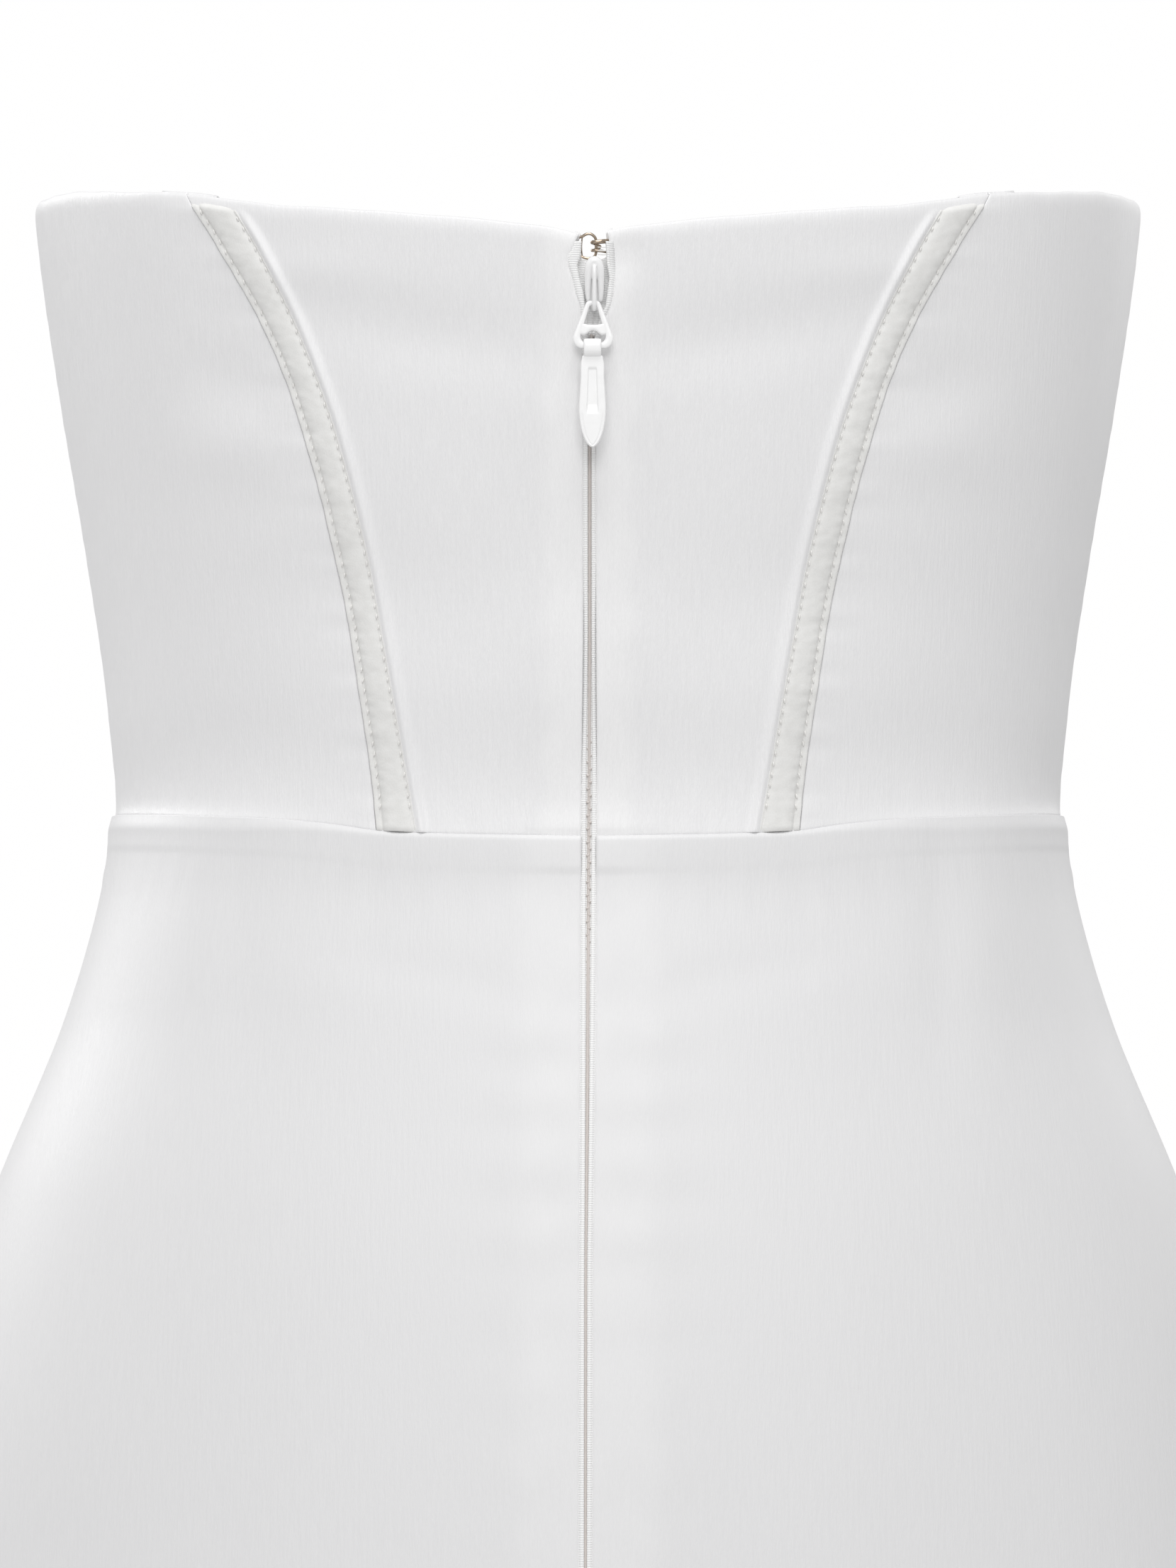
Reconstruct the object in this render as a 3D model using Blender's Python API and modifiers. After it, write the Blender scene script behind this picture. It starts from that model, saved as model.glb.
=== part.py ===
"""A strapless white satin corset gown with a zip down the back.

The gown keeps the hollow form that it has when worn. Its front faces -Y and +Z is up, in metres, with
the origin at the middle of the waist. Left and right are the wearer's: left is +X. The tables below are
in millimetres. A place around the body is a turn in degrees: 0 at the centre back, 90 at the left side
seam, -90 at the right one and 180 at the centre front.
"""

import math

import bmesh
import bpy
import numpy as np
from mathutils import Matrix

MM = 0.001
SHARP_ANGLE = math.radians(40)
WIRE_ROUNDNESS = 2
CIRCLE_POINTS = 20
DOME_SEGMENTS = 16
DOME_RINGS = 10
QUARTER_TURN = math.radians(90)

# Cloth
CLOTH = 1.5
SEAM_GAP = 0.3
CHANNEL_CLOTH = 1.0
TAPE_CLOTH = 1.2
TAPE_SINK = 0.1

# The worn form, one ring for each row
RINGS = {
    "height": (-1060, -800, -600, -400, -280, -200, -140, -90, -45, -15, 0, 30, 70, 110, 150, 210),
    "half_width": (300, 258, 226, 196, 182, 174, 163, 148, 130, 120, 118, 120, 126, 133, 139, 143),
    "front_depth": (236, 196, 164, 138, 126, 120, 114, 107, 98, 91, 89, 90, 94, 99, 101, 97),
    "back_depth": (250, 205, 170, 142, 128, 121, 113, 103, 91, 83, 81, 82, 87, 93, 98, 102),
}
SQUARENESS_BACK = 2.3
SQUARENESS_FRONT = 2.1

# Shaped by the front seams: the fullness of each cup
CUP = {"across": 62, "height": 148, "depth": 20, "spread_across": 42, "spread_up": 38}

# Edges that run round the body, by their distance in degrees from the centre back
TOP_EDGE = {
    "turn": (0, 2, 5, 10, 20, 29, 37, 60, 90, 115, 135, 150, 165, 180),
    "height": (134.0, 135.5, 136.5, 138, 140.8, 143.3, 146.6, 154, 161, 169.5, 175, 176, 173.5, 170),
}
WAIST_SEAM = {
    "turn": (0, 8, 14, 22, 26, 34, 46, 90, 180),
    "height": (-7, -6.5, -6, -4.7, -3, -0.5, 2.4, 6, 4),
}

# Seams that run down the bodice, by their distance from the middle
BACK_SEAM = {
    "height": (-10, 9, 26, 44, 63, 77, 92, 106, 120, 135, 150),
    "seam": (49.6, 51.4, 53.7, 56.6, 60.6, 63.8, 68.2, 73.3, 79.8, 88.3, 97.5),
    "channel_inner": (37.6, 40.8, 43.6, 46.9, 50.6, 53.9, 58.2, 63.4, 69.4, 77.0, 86.2),
}
FRONT_SEAM = {
    "height": (0, 60, 110, 150, 190),
    "seam": (46, 50, 58, 68, 76),
}

# The zip, from the top down: the slit between its two tapes, and how much of each tape shows
ZIP = {
    "height": (-188, -106, -75, -43, 14, 40, 106, 112, 115.5, 118, 121, 124.5, 127.5, 129.5, 131.5, 134.6),
    "middle": (0.6, 0.5, 0.2, 0, -0.3, -0.4, -0.4, -0.9, -1.3, -1.7, -1.75, -1.45, -1, -1.3, -1.35, -1.3),
    "half_slit": (0.3, 0.3, 0.4, 0.55, 0.68, 0.42, 0.42, 0.95, 1.7, 2.5, 2.85, 3.65, 3.6, 3.2, 3.05, 2.9),
    "left_tape": (0.95, 0.95, 0.95, 0.95, 0.95, 0.95, 0.95, 0.95, 0.9, 0.9, 1.6, 1.3, 1.9, 2.6, 1.6, 0.4),
    "right_tape": (0.95, 0.95, 0.95, 0.95, 0.95, 0.95, 0.75, 0.75, 0.9, 0.9, 1.4, 1.0, 1.2, 1.3, 1.0, 0.5),
}
ZIP_END = -189.0
ZIP_END_SLOPE = 8.0

# Rows and columns of the walls
CENTRE_BACK_ROWS = (0, .14, .28, .42, .56, .68, .77, .81, .835, .86, .885, .91, .935, .965, 1)
TAPE_DROPS = (188, 160, 115, 70, 35, 14)
TAPE_TOP_ROW = 0.99
BODICE_ROWS = tuple(np.linspace(0, 1, 11))
CENTRE_BACK_COLUMNS = (6, 2)
SIDE_COLUMNS = (9,)
CENTRE_FRONT_COLUMNS = (18,)
CHANNEL_TOP = 0.985
SKIRT_DROPS = (14, 35, 70, 115, 160, 189, 197, 250, 330, 430, 550, 680, 810, 940, 1060)
SKIRT_FRONT_DROPS = (14, 40, 90, 150, 220, 310, 430, 560, 690, 820, 940, 1060)
DEGREES_PER_SKIRT_COLUMN = 5
WAIST_CURVE_FADE = 80

# Soft flutes of the skirt, uneven, each growing from its own height to the hem
FLUTES = {
    "turn": (-161, -133, -108, -71, -44, -19, 17, 47, 74, 109, 137, 165),
    "spread": (8.5, 8, 9, 9, 8, 8.5, 8, 9, 8.5, 9, 8, 8.5),
    "swell": (14, 24, 19, 25, 17, 15, 18, 15, 26, 22, 25, 12),
    "start": (-430, -380, -330, -360, -400, -440, -420, -380, -330, -350, -400, -470),
}
FLUTE_FULL = -1060

# The slider, in its own frame on the leaning back: across, out of the cloth, and up
SLIDER_ACROSS = -1.5
SLIDER_HEIGHT = 122.0
SLIDER_PLATE = {"low": (-1.8, -1.2, -3.3), "high": (1.8, 0.4, 5.8), "edge": 0.25}
SLIDER_TONGUE = {"low": (-0.8, -0.9, -5.2), "high": (0.8, 0.3, -3.0), "edge": 0.15}
CROWN_CENTRE = (0, 0.15, 4.4)
CROWN_RADII = (2.25, 1.75, 3.2)
LEG_WIRE = 0.68
LEG_ROUTE = ((1.45, 0.55, 4.6), (1.5, 0.6, 1.0), (1.5, 0.5, -2.6), (1.42, 0.3, -3.05))
HINGE_OUT = 1.5
HINGE_DOWN = 3.5
BRIDGE_WIRE = 0.42
CURL_RADIUS = 1.5
CURL_ANGLES = (30, 60, 90, 120, 145)
BRIDGE_OUT = HINGE_OUT + CURL_RADIUS
BRIDGE_TOP = ((0, 0.8, 5.6), (0, 2.1, 5.2), (0, 2.8, 4.4), (0, BRIDGE_OUT, 3.2), (0, BRIDGE_OUT, 0))
BRIDGE_END = (0, -0.2, -4.15)

# The link, below its hinge: circles as (across, up, radius) whose hull is the outline
LINK_ACROSS = -1.2
LINK_THICKNESS = 0.9
LINK_EDGE = 0.1
LINK_OUTLINE = ((0.8, -0.55, 1.0), (2.4, -8.55, 2.3))
LINK_TOP_HOLE = ((0.0, -1.45, 1.0), (1.15, -4.4, 0.6))
LINK_LOW_HOLE = ((1.35, -8.0, 1.6),)
TAB_DROP = 10.15

# The tab, below its own hinge, and its loop as circles in the same way
TAB_ACROSS = -1.05
TAB_THICKNESS = 1.2
TAB_EDGE = 0.15
TAB = {
    "down": (2.5, 3.2, 8, 12, 15, 17.6, 19.7, 21.3, 22.6, 23.5, 24.1),
    "half_width": (2.2, 2.5, 2.8, 3.05, 3.2, 3.05, 2.7, 2.25, 1.7, 1.1, 0.5),
}
LOOP_OUTLINE = ((0, 0, 1.65), (0, -1.2, 1.65))
LOOP_HOLE = ((0, 0, 1.05), (0, -1.0, 1.05))
LOOP_EDGE = 0.1
LOOP_HALF_WIDTH = 2.0

# Hook and eye: wire routes as (across, out of the cloth, height)
FASTENER_WIRE = 0.3
EYE_ROUTE = (
    (5.2, -2.3, 133.2), (3.4, -2.2, 133.8), (1.5, -2.0, 134.2), (0.6, -1.95, 134.7),
    (-0.3, -1.95, 134.9), (-1.2, -1.95, 134.5), (-1.85, -1.95, 133.6), (-1.9, -1.95, 132.0),
    (-1.85, -1.95, 130.3), (-1.3, -1.95, 129.4), (-0.3, -1.95, 129.1), (0.7, -1.95, 129.2),
    (1.6, -2.0, 129.5), (3.4, -2.2, 129.8), (5.2, -2.3, 130.0),
)
HOOK_ROUTE = (
    (-9.0, -2.4, 133.2), (-7.0, -2.3, 133.3), (-4.9, -2.2, 133.2), (-3.9, -1.7, 133.1),
    (-3.1, -1.25, 133.0), (-1.8, -1.2, 132.9), (-1.15, -1.5, 132.9), (-0.95, -2.05, 132.8),
    (-1.3, -2.6, 132.7), (-2.1, -2.8, 132.4), (-2.9, -2.85, 131.9), (-2.1, -2.8, 131.4),
    (-1.3, -2.6, 131.1), (-0.95, -2.05, 131.0), (-1.15, -1.5, 130.9), (-1.8, -1.2, 130.9),
    (-3.1, -1.25, 130.8), (-3.9, -1.7, 130.7), (-4.9, -2.2, 130.6), (-7.0, -2.3, 130.5),
    (-9.0, -2.4, 130.6),
)

# Finishes: base colour, roughness, metallic
FINISHES = {
    "satin": ((0.84, 0.84, 0.85, 1.0), 0.38, 0.0),
    "channel_twill": ((0.78, 0.775, 0.765, 1.0), 0.85, 0.0),
    "zip_tape": ((0.86, 0.86, 0.86, 1.0), 0.7, 0.0),
    "lacquered_metal": ((0.9, 0.9, 0.9, 1.0), 0.3, 0.0),
    "fastener_wire": ((0.72, 0.66, 0.56, 1.0), 0.25, 1.0),
}


def smooth(value, places, amounts):
    """Reads a table with a smooth curve through its rows: cubic pieces with matching slopes."""
    places = np.asarray(places, float)
    amounts = np.asarray(amounts, float)
    slopes = np.gradient(amounts, places)
    row = np.clip(np.searchsorted(places, value) - 1, 0, len(places) - 2)
    span = places[row + 1] - places[row]
    t = np.clip((value - places[row]) / span, 0, 1)
    start = (2 * t**3 - 3 * t**2 + 1) * amounts[row] + (t**3 - 2 * t**2 + t) * span * slopes[row]
    end = (3 * t**2 - 2 * t**3) * amounts[row + 1] + (t**3 - t**2) * span * slopes[row + 1]
    return start + end


def ring_size(column, height):
    """A ring's half width or depth at a height."""
    return smooth(height, RINGS["height"], RINGS[column])


def flute_swell(turn, height):
    """How far the skirt's flutes stand out: a sum of soft ridges that grow towards the hem."""
    total = np.zeros_like(turn)
    for middle, spread, swell, start in zip(*FLUTES.values()):
        away = (turn - middle + 180) % 360 - 180
        growth = np.clip((start - height) / (start - FLUTE_FULL), 0, 1) ** 1.5
        total += swell * growth * np.exp(-0.5 * (away / spread) ** 2)
    return total


def worn_point(turn, height):
    """The gown's outer surface: rounded rings with a flatter back, then cups and flutes."""
    turn, height = np.broadcast_arrays(np.asarray(turn, float), np.asarray(height, float))
    sine = np.sin(np.radians(turn))
    cosine = np.cos(np.radians(turn))
    is_back = cosine >= 0
    power = np.where(is_back, 2 / SQUARENESS_BACK, 2 / SQUARENESS_FRONT)
    depth = np.where(is_back, ring_size("back_depth", height), ring_size("front_depth", height))
    x = np.sign(sine) * ring_size("half_width", height) * np.abs(sine) ** power
    y = np.sign(cosine) * depth * np.abs(cosine) ** power
    across = (np.abs(x) - CUP["across"]) / CUP["spread_across"]
    up = (height - CUP["height"]) / CUP["spread_up"]
    cup = CUP["depth"] * np.exp(-0.5 * (across**2 + up**2)) * (1 - is_back) * np.clip(-4 * cosine, 0, 1)
    swell = flute_swell(turn, height)
    reach = np.hypot(x, y)
    x = x * (1 + swell / reach)
    y = y * (1 + swell / reach) - cup
    return np.stack([x, y, height], axis=-1)


def outward(turn, height):
    """The surface's outward direction, from the slopes round the body and up it."""
    step = 0.05
    around = worn_point(turn + step, height) - worn_point(turn - step, height)
    up = worn_point(turn, height + step) - worn_point(turn, height - step)
    normal = np.cross(up, around)
    return normal / np.linalg.norm(normal, axis=-1, keepdims=True)


def moved_out(turn, height, distance):
    """A point of the surface, moved along its outward direction."""
    return worn_point(turn, height) + distance * outward(turn, height)


def turn_at(x, height, is_front=False):
    """The turn at which a ring stands x from the middle."""
    power = (SQUARENESS_FRONT if is_front else SQUARENESS_BACK) / 2
    share = np.clip(np.abs(x) / ring_size("half_width", height), 0, 1) ** power
    turn = np.degrees(np.arcsin(share))
    return np.sign(x) * (180 - turn if is_front else turn)


def stepped(turn, height, distance):
    """A turn moved round the body by a distance."""
    step = 0.25
    across = worn_point(turn + step, height) - worn_point(turn - step, height)
    return turn + distance * 2 * step / np.linalg.norm(across, axis=-1)


def top_edge(turn):
    """Height of the top edge."""
    return smooth(np.abs(turn), TOP_EDGE["turn"], TOP_EDGE["height"])


def waist_seam(turn):
    """Height of the waist seam."""
    return smooth(np.abs(turn), WAIST_SEAM["turn"], WAIST_SEAM["height"])


def bodice_height(turn, share):
    """Height of a bodice row, from the waist seam (share 0) to the top edge (share 1)."""
    low = waist_seam(turn) + SEAM_GAP / 2
    return low + share * (top_edge(turn) - low)


def skirt_height(turn, drop):
    """Height of a skirt row: the waist seam's curve fades out below the waist."""
    return waist_seam(turn) * np.clip(1 - drop / WAIST_CURVE_FADE, 0, 1) - drop


def seam_turn(row, height_of, x_of, is_front=False):
    """The turn of a seam on each row, found by stepping between its height and its place across."""
    turn = turn_at(x_of(np.zeros_like(row)), np.zeros_like(row), is_front)
    for _ in range(12):
        height = height_of(turn, row)
        turn = turn_at(x_of(height), height, is_front)
    return turn


def zip_edge(height, is_left):
    """How far from the middle the satin's edge stands beside the zip."""
    read = {column: np.interp(height, ZIP["height"], ZIP[column]) for column in ZIP}
    middle, half = read["middle"], read["half_slit"]
    closed = np.clip((ZIP_END - height) / ZIP_END_SLOPE, 0, 1)
    if is_left:
        opened = middle + half + read["left_tape"] + SEAM_GAP
        return opened + closed * (middle + SEAM_GAP / 2 - opened)
    opened = middle - half - read["right_tape"] - SEAM_GAP
    return opened + closed * (middle - SEAM_GAP / 2 - opened)


def back_seam(column, is_left):
    """The distance of a back seam line from the middle, as a function of height."""
    side = 1 if is_left else -1
    return lambda height: side * smooth(height, BACK_SEAM["height"], BACK_SEAM[column])


def front_seam(is_left):
    """The distance of the front seam from the middle, as a function of height."""
    side = 1 if is_left else -1
    return lambda height: side * smooth(height, FRONT_SEAM["height"], FRONT_SEAM["seam"])


def make_material(name):
    """A finish as a Principled BSDF."""
    colour, roughness, metallic = FINISHES[name]
    material = bpy.data.materials.new(name)
    material.use_nodes = True
    shader = material.node_tree.nodes["Principled BSDF"]
    shader.inputs["Base Color"].default_value = colour
    shader.inputs["Roughness"].default_value = roughness
    shader.inputs["Metallic"].default_value = metallic
    material.diffuse_color = colour
    return material


def add_object(name, mesh, material, collection):
    """An object for a mesh, smooth where its faces meet gently."""
    mesh.materials.append(material)
    mesh.shade_smooth()
    mesh.set_sharp_from_angle(angle=SHARP_ANGLE)
    piece = bpy.data.objects.new(name, mesh)
    collection.objects.link(piece)
    return piece


def grid_mesh(name, points):
    """A sheet through a grid of points in millimetres, facing outwards when columns run to the left."""
    rows, columns = points.shape[:2]
    index = np.arange(rows * columns).reshape(rows, columns)
    corners = (index[:-1, :-1], index[1:, :-1], index[1:, 1:], index[:-1, 1:])
    faces = np.stack([corner.ravel() for corner in corners], axis=-1)
    mesh = bpy.data.meshes.new(name)
    mesh.from_pydata((points.reshape(-1, 3) * MM).tolist(), [], faces.tolist())
    return mesh


def add_wall(name, points, thickness, material, collection):
    """A wall of cloth: its outer sheet with Solidify inwards."""
    piece = add_object(name, grid_mesh(name, points), material, collection)
    solidify = piece.modifiers.new("cloth", "SOLIDIFY")
    solidify.thickness = thickness * MM
    solidify.offset = -1
    return piece


def panel_points(height_of, rows, lines, columns, out=0.0):
    """A panel's points: its lines from right to left, as the turn of each row, with columns between them."""
    row = np.asarray(rows, float)[:, None]
    stretches = [lines[0][:, None]]
    for right, left, count in zip(lines, lines[1:], columns):
        share = np.linspace(0, 1, count + 1)[None, 1:]
        stretches.append(right[:, None] + share * (left - right)[:, None])
    turn = np.concatenate(stretches, axis=1)
    height = height_of(turn, row)
    return moved_out(turn, height, out) if out else worn_point(turn, height)


def to_the_left(lines, is_left):
    """Lines listed from the middle outwards, put in order from right to left."""
    return lines if is_left else lines[::-1]


def inset(turn, rows, height_of, distance):
    """An edge moved by half a seam gap, or by another distance."""
    return stepped(turn, height_of(turn, np.asarray(rows, float)), distance)


def add_bodice(satin, collection):
    """Seven cut panels: two at the centre back, two side backs, two side fronts and the centre front."""
    half = SEAM_GAP / 2
    front_edges = {}
    for is_left, side in ((True, "left"), (False, "right")):
        outwards = 1 if is_left else -1
        rows = np.array(CENTRE_BACK_ROWS)
        zip_turn = seam_turn(rows, bodice_height, lambda height: zip_edge(height, is_left))
        channel = seam_turn(rows, bodice_height, back_seam("channel_inner", is_left))
        seam = seam_turn(rows, bodice_height, back_seam("seam", is_left))
        lines = to_the_left([zip_turn, channel, inset(seam, rows, bodice_height, -outwards * half)], is_left)
        points = panel_points(bodice_height, rows, lines, to_the_left(CENTRE_BACK_COLUMNS, is_left))
        add_wall(f"bodice_centre_back_{side}", points, CLOTH, satin, collection)

        rows = np.array(BODICE_ROWS)
        seam = seam_turn(rows, bodice_height, back_seam("seam", is_left))
        seam = inset(seam, rows, bodice_height, outwards * half)
        side_turn = np.full_like(rows, outwards * 90.0)
        side_back_edge = inset(side_turn, rows, bodice_height, -outwards * half)
        lines = to_the_left([seam, side_back_edge], is_left)
        points = panel_points(bodice_height, rows, lines, SIDE_COLUMNS)
        add_wall(f"bodice_side_back_{side}", points, CLOTH, satin, collection)

        side_front_edge = inset(side_turn, rows, bodice_height, outwards * half)
        front = seam_turn(rows, bodice_height, front_seam(is_left), is_front=True)
        front_edge = inset(front, rows, bodice_height, -outwards * half)
        lines = to_the_left([side_front_edge, front_edge], is_left)
        points = panel_points(bodice_height, rows, lines, SIDE_COLUMNS)
        add_wall(f"bodice_side_front_{side}", points, CLOTH, satin, collection)
        front_edges[side] = inset(front, rows, bodice_height, outwards * half)

    rows = np.array(BODICE_ROWS)
    lines = [front_edges["left"], front_edges["right"] + 360]
    height_of = lambda turn, row: bodice_height(around(turn), row)
    points = panel_points(height_of, rows, lines, CENTRE_FRONT_COLUMNS)
    add_wall("bodice_centre_front", points, CLOTH, satin, collection)


def around(turn):
    """A turn brought back between -180 and 180 degrees."""
    return (turn + 180) % 360 - 180


def add_channels(twill, collection):
    """The two boning channels, stitched on the centre backs beside the seam."""
    out = SEAM_GAP + CHANNEL_CLOTH
    rows = np.array(CENTRE_BACK_ROWS[:-1] + (CHANNEL_TOP,))
    for is_left, side in ((True, "left"), (False, "right")):
        outwards = 1 if is_left else -1
        seam = seam_turn(rows, bodice_height, back_seam("seam", is_left))
        outer = inset(seam, rows, bodice_height, -outwards * SEAM_GAP)
        inner = seam_turn(rows, bodice_height, back_seam("channel_inner", is_left))
        columns = CENTRE_BACK_COLUMNS[-1:]
        points = panel_points(bodice_height, rows, to_the_left([inner, outer], is_left), columns, out)
        add_wall(f"boning_channel_{side}", points, CHANNEL_CLOTH, twill, collection)


def add_skirt(satin, collection):
    """The skirt: two backs that meet at the zip and the seam below it, and one front."""
    half = SEAM_GAP / 2
    columns = round(90 / DEGREES_PER_SKIRT_COLUMN)
    for is_left, side in ((True, "left"), (False, "right")):
        outwards = 1 if is_left else -1
        rows = np.array((half,) + SKIRT_DROPS)[::-1]
        middle = seam_turn(rows, skirt_height, lambda height: zip_edge(height, is_left))
        side_turn = np.full_like(rows, outwards * 90.0)
        side_edge = inset(side_turn, rows, skirt_height, -outwards * half)
        points = panel_points(skirt_height, rows, to_the_left([middle, side_edge], is_left), [columns])
        add_wall(f"skirt_back_{side}", points, CLOTH, satin, collection)
    rows = np.array((half,) + SKIRT_FRONT_DROPS)[::-1]
    left_edge = inset(np.full_like(rows, 90.0), rows, skirt_height, half)
    right_edge = inset(np.full_like(rows, -90.0), rows, skirt_height, -half) + 360
    lines = [left_edge, right_edge]
    points = panel_points(lambda turn, row: skirt_height(around(turn), row), rows, lines, [2 * columns])
    add_wall("skirt_front", points, CLOTH, satin, collection)


def gown_height(turn, row):
    """Height of a row that runs on below the waist: a share of the bodice, or minus a drop of the skirt."""
    above = bodice_height(turn, np.maximum(row, 0))
    below = skirt_height(turn, np.maximum(-row, 0))
    return np.where(row >= 0, above, below)


def tape_line(part, is_left):
    """One side of a tape: its distance from the middle, as a function of height."""
    def distance(height):
        read = {column: np.interp(height, ZIP["height"], ZIP[column]) for column in ZIP}
        width = read["left_tape" if is_left else "right_tape"] if part == "outer" else 0
        return read["middle"] + (1 if is_left else -1) * (read["half_slit"] + width)
    return distance


def add_tapes(tape, collection):
    """The two halves of the zip: the rolled tape edges that show in the slit."""
    rows = np.array([-drop for drop in TAPE_DROPS] + list(CENTRE_BACK_ROWS[:-1]) + [TAPE_TOP_ROW])
    for is_left, side in ((True, "left"), (False, "right")):
        inner = seam_turn(rows, gown_height, tape_line("inner", is_left))
        outer = seam_turn(rows, gown_height, tape_line("outer", is_left))
        points = panel_points(gown_height, rows, to_the_left([inner, outer], is_left), [1], -TAPE_SINK)
        add_wall(f"zip_tape_{side}", points, TAPE_CLOTH, tape, collection)


def add_tool(name, mesh, tools):
    """A solid that is only joined to another one."""
    tool = bpy.data.objects.new(name, mesh)
    tool.hide_render = True
    tool.display_type = "WIRE"
    tools.objects.link(tool)
    return tool


def join(piece, tools):
    """Joins solids to a piece, one Boolean each."""
    for tool in tools:
        union = piece.modifiers.new(tool.name, "BOOLEAN")
        union.operation = "UNION"
        union.solver = "EXACT"
        union.object = tool


def curve_mesh(name, curve):
    """A curve made a mesh, with its caps welded."""
    holder = bpy.data.objects.new(name, curve)
    bpy.context.scene.collection.objects.link(holder)
    bpy.context.view_layer.update()
    evaluated = holder.evaluated_get(bpy.context.evaluated_depsgraph_get())
    mesh = bpy.data.meshes.new_from_object(evaluated)
    mesh.name = name
    bpy.data.objects.remove(holder)
    shape = bmesh.new()
    shape.from_mesh(mesh)
    bmesh.ops.remove_doubles(shape, verts=shape.verts, dist=0.001 * MM)
    bmesh.ops.recalc_face_normals(shape, faces=shape.faces)
    shape.to_mesh(mesh)
    shape.free()
    return mesh


def wire_mesh(name, route, radius):
    """A wire of a radius along a route of points in millimetres."""
    curve = bpy.data.curves.new(name, "CURVE")
    curve.dimensions = "3D"
    curve.bevel_depth = radius * MM
    curve.bevel_resolution = WIRE_ROUNDNESS
    curve.use_fill_caps = True
    spline = curve.splines.new("POLY")
    spline.points.add(len(route) - 1)
    for point, place in zip(spline.points, route):
        point.co = (*[value * MM for value in place], 1)
    return curve_mesh(name, curve)


def hull_outline(circles):
    """The outline round a set of circles and their mirror images: the hull of points on them."""
    angles = np.linspace(0, 2 * math.pi, CIRCLE_POINTS, endpoint=False)
    points = set()
    for across, up, radius in circles:
        for side in (1, -1):
            for angle in angles:
                x = side * across + radius * math.cos(angle)
                points.add((round(x, 6), round(up + radius * math.sin(angle), 6)))
    ordered = sorted(points)

    def half_hull(run):
        chain = []
        for point in run:
            while len(chain) > 1 and turns_right(chain[-2], chain[-1], point):
                chain.pop()
            chain.append(point)
        return chain[:-1]

    return half_hull(ordered) + half_hull(ordered[::-1])


def turns_right(first, second, third):
    """Whether three points of an outline turn right, or go straight on."""
    across = (second[0] - first[0]) * (third[1] - first[1])
    along = (second[1] - first[1]) * (third[0] - first[0])
    return across - along <= 1e-9


def plate_mesh(name, outlines, thickness, edge):
    """A flat plate: an outline, with holes, extruded to a thickness with chamfered edges."""
    curve = bpy.data.curves.new(name, "CURVE")
    curve.dimensions = "2D"
    curve.fill_mode = "BOTH"
    curve.extrude = (thickness / 2 - edge) * MM
    curve.bevel_depth = edge * MM
    curve.bevel_resolution = 0
    curve.offset = -edge * MM
    for outline in outlines:
        spline = curve.splines.new("POLY")
        spline.use_cyclic_u = True
        spline.points.add(len(outline) - 1)
        for point, (across, up) in zip(spline.points, outline):
            point.co = (across * MM, up * MM, 0, 1)
    return curve_mesh(name, curve)


def turn_mesh(mesh, angle, axis):
    """Turns a mesh in place."""
    shape = bmesh.new()
    shape.from_mesh(mesh)
    bmesh.ops.rotate(shape, cent=(0, 0, 0), matrix=Matrix.Rotation(angle, 3, axis), verts=shape.verts)
    shape.to_mesh(mesh)
    shape.free()


def block_mesh(name, block):
    """A block between two corners in millimetres, with its edges bevelled."""
    low, high = block["low"], block["high"]
    shape = bmesh.new()
    bmesh.ops.create_cube(shape, size=1.0)
    size = [(top - bottom) * MM for bottom, top in zip(low, high)]
    middle = [(top + bottom) / 2 * MM for bottom, top in zip(low, high)]
    bmesh.ops.scale(shape, vec=size, verts=shape.verts)
    bmesh.ops.bevel(shape, geom=shape.edges[:], offset=block["edge"] * MM, segments=1, affect="EDGES")
    bmesh.ops.translate(shape, vec=middle, verts=shape.verts)
    mesh = bpy.data.meshes.new(name)
    shape.to_mesh(mesh)
    shape.free()
    return mesh


def dome_mesh(name, centre, radii):
    """An egg-shaped solid."""
    shape = bmesh.new()
    bmesh.ops.create_uvsphere(shape, u_segments=DOME_SEGMENTS, v_segments=DOME_RINGS, radius=1.0)
    bmesh.ops.scale(shape, vec=[radius * MM for radius in radii], verts=shape.verts)
    bmesh.ops.translate(shape, vec=[value * MM for value in centre], verts=shape.verts)
    mesh = bpy.data.meshes.new(name)
    shape.to_mesh(mesh)
    shape.free()
    return mesh


def back_lean(height):
    """The angle at which the centre back leans out, going up."""
    step = 6.0
    low, high = worn_point(0.0, height - step), worn_point(0.0, height + step)
    return math.atan2(high[1] - low[1], high[2] - low[2])


def on_back(across, out, up):
    """A place in the slider's own frame, in the gown's."""
    lean = back_lean(SLIDER_HEIGHT)
    base = worn_point(0.0, SLIDER_HEIGHT)
    y = base[1] + out * math.cos(lean) + up * math.sin(lean)
    z = base[2] - out * math.sin(lean) + up * math.cos(lean)
    return np.array([across, y, z])


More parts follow.
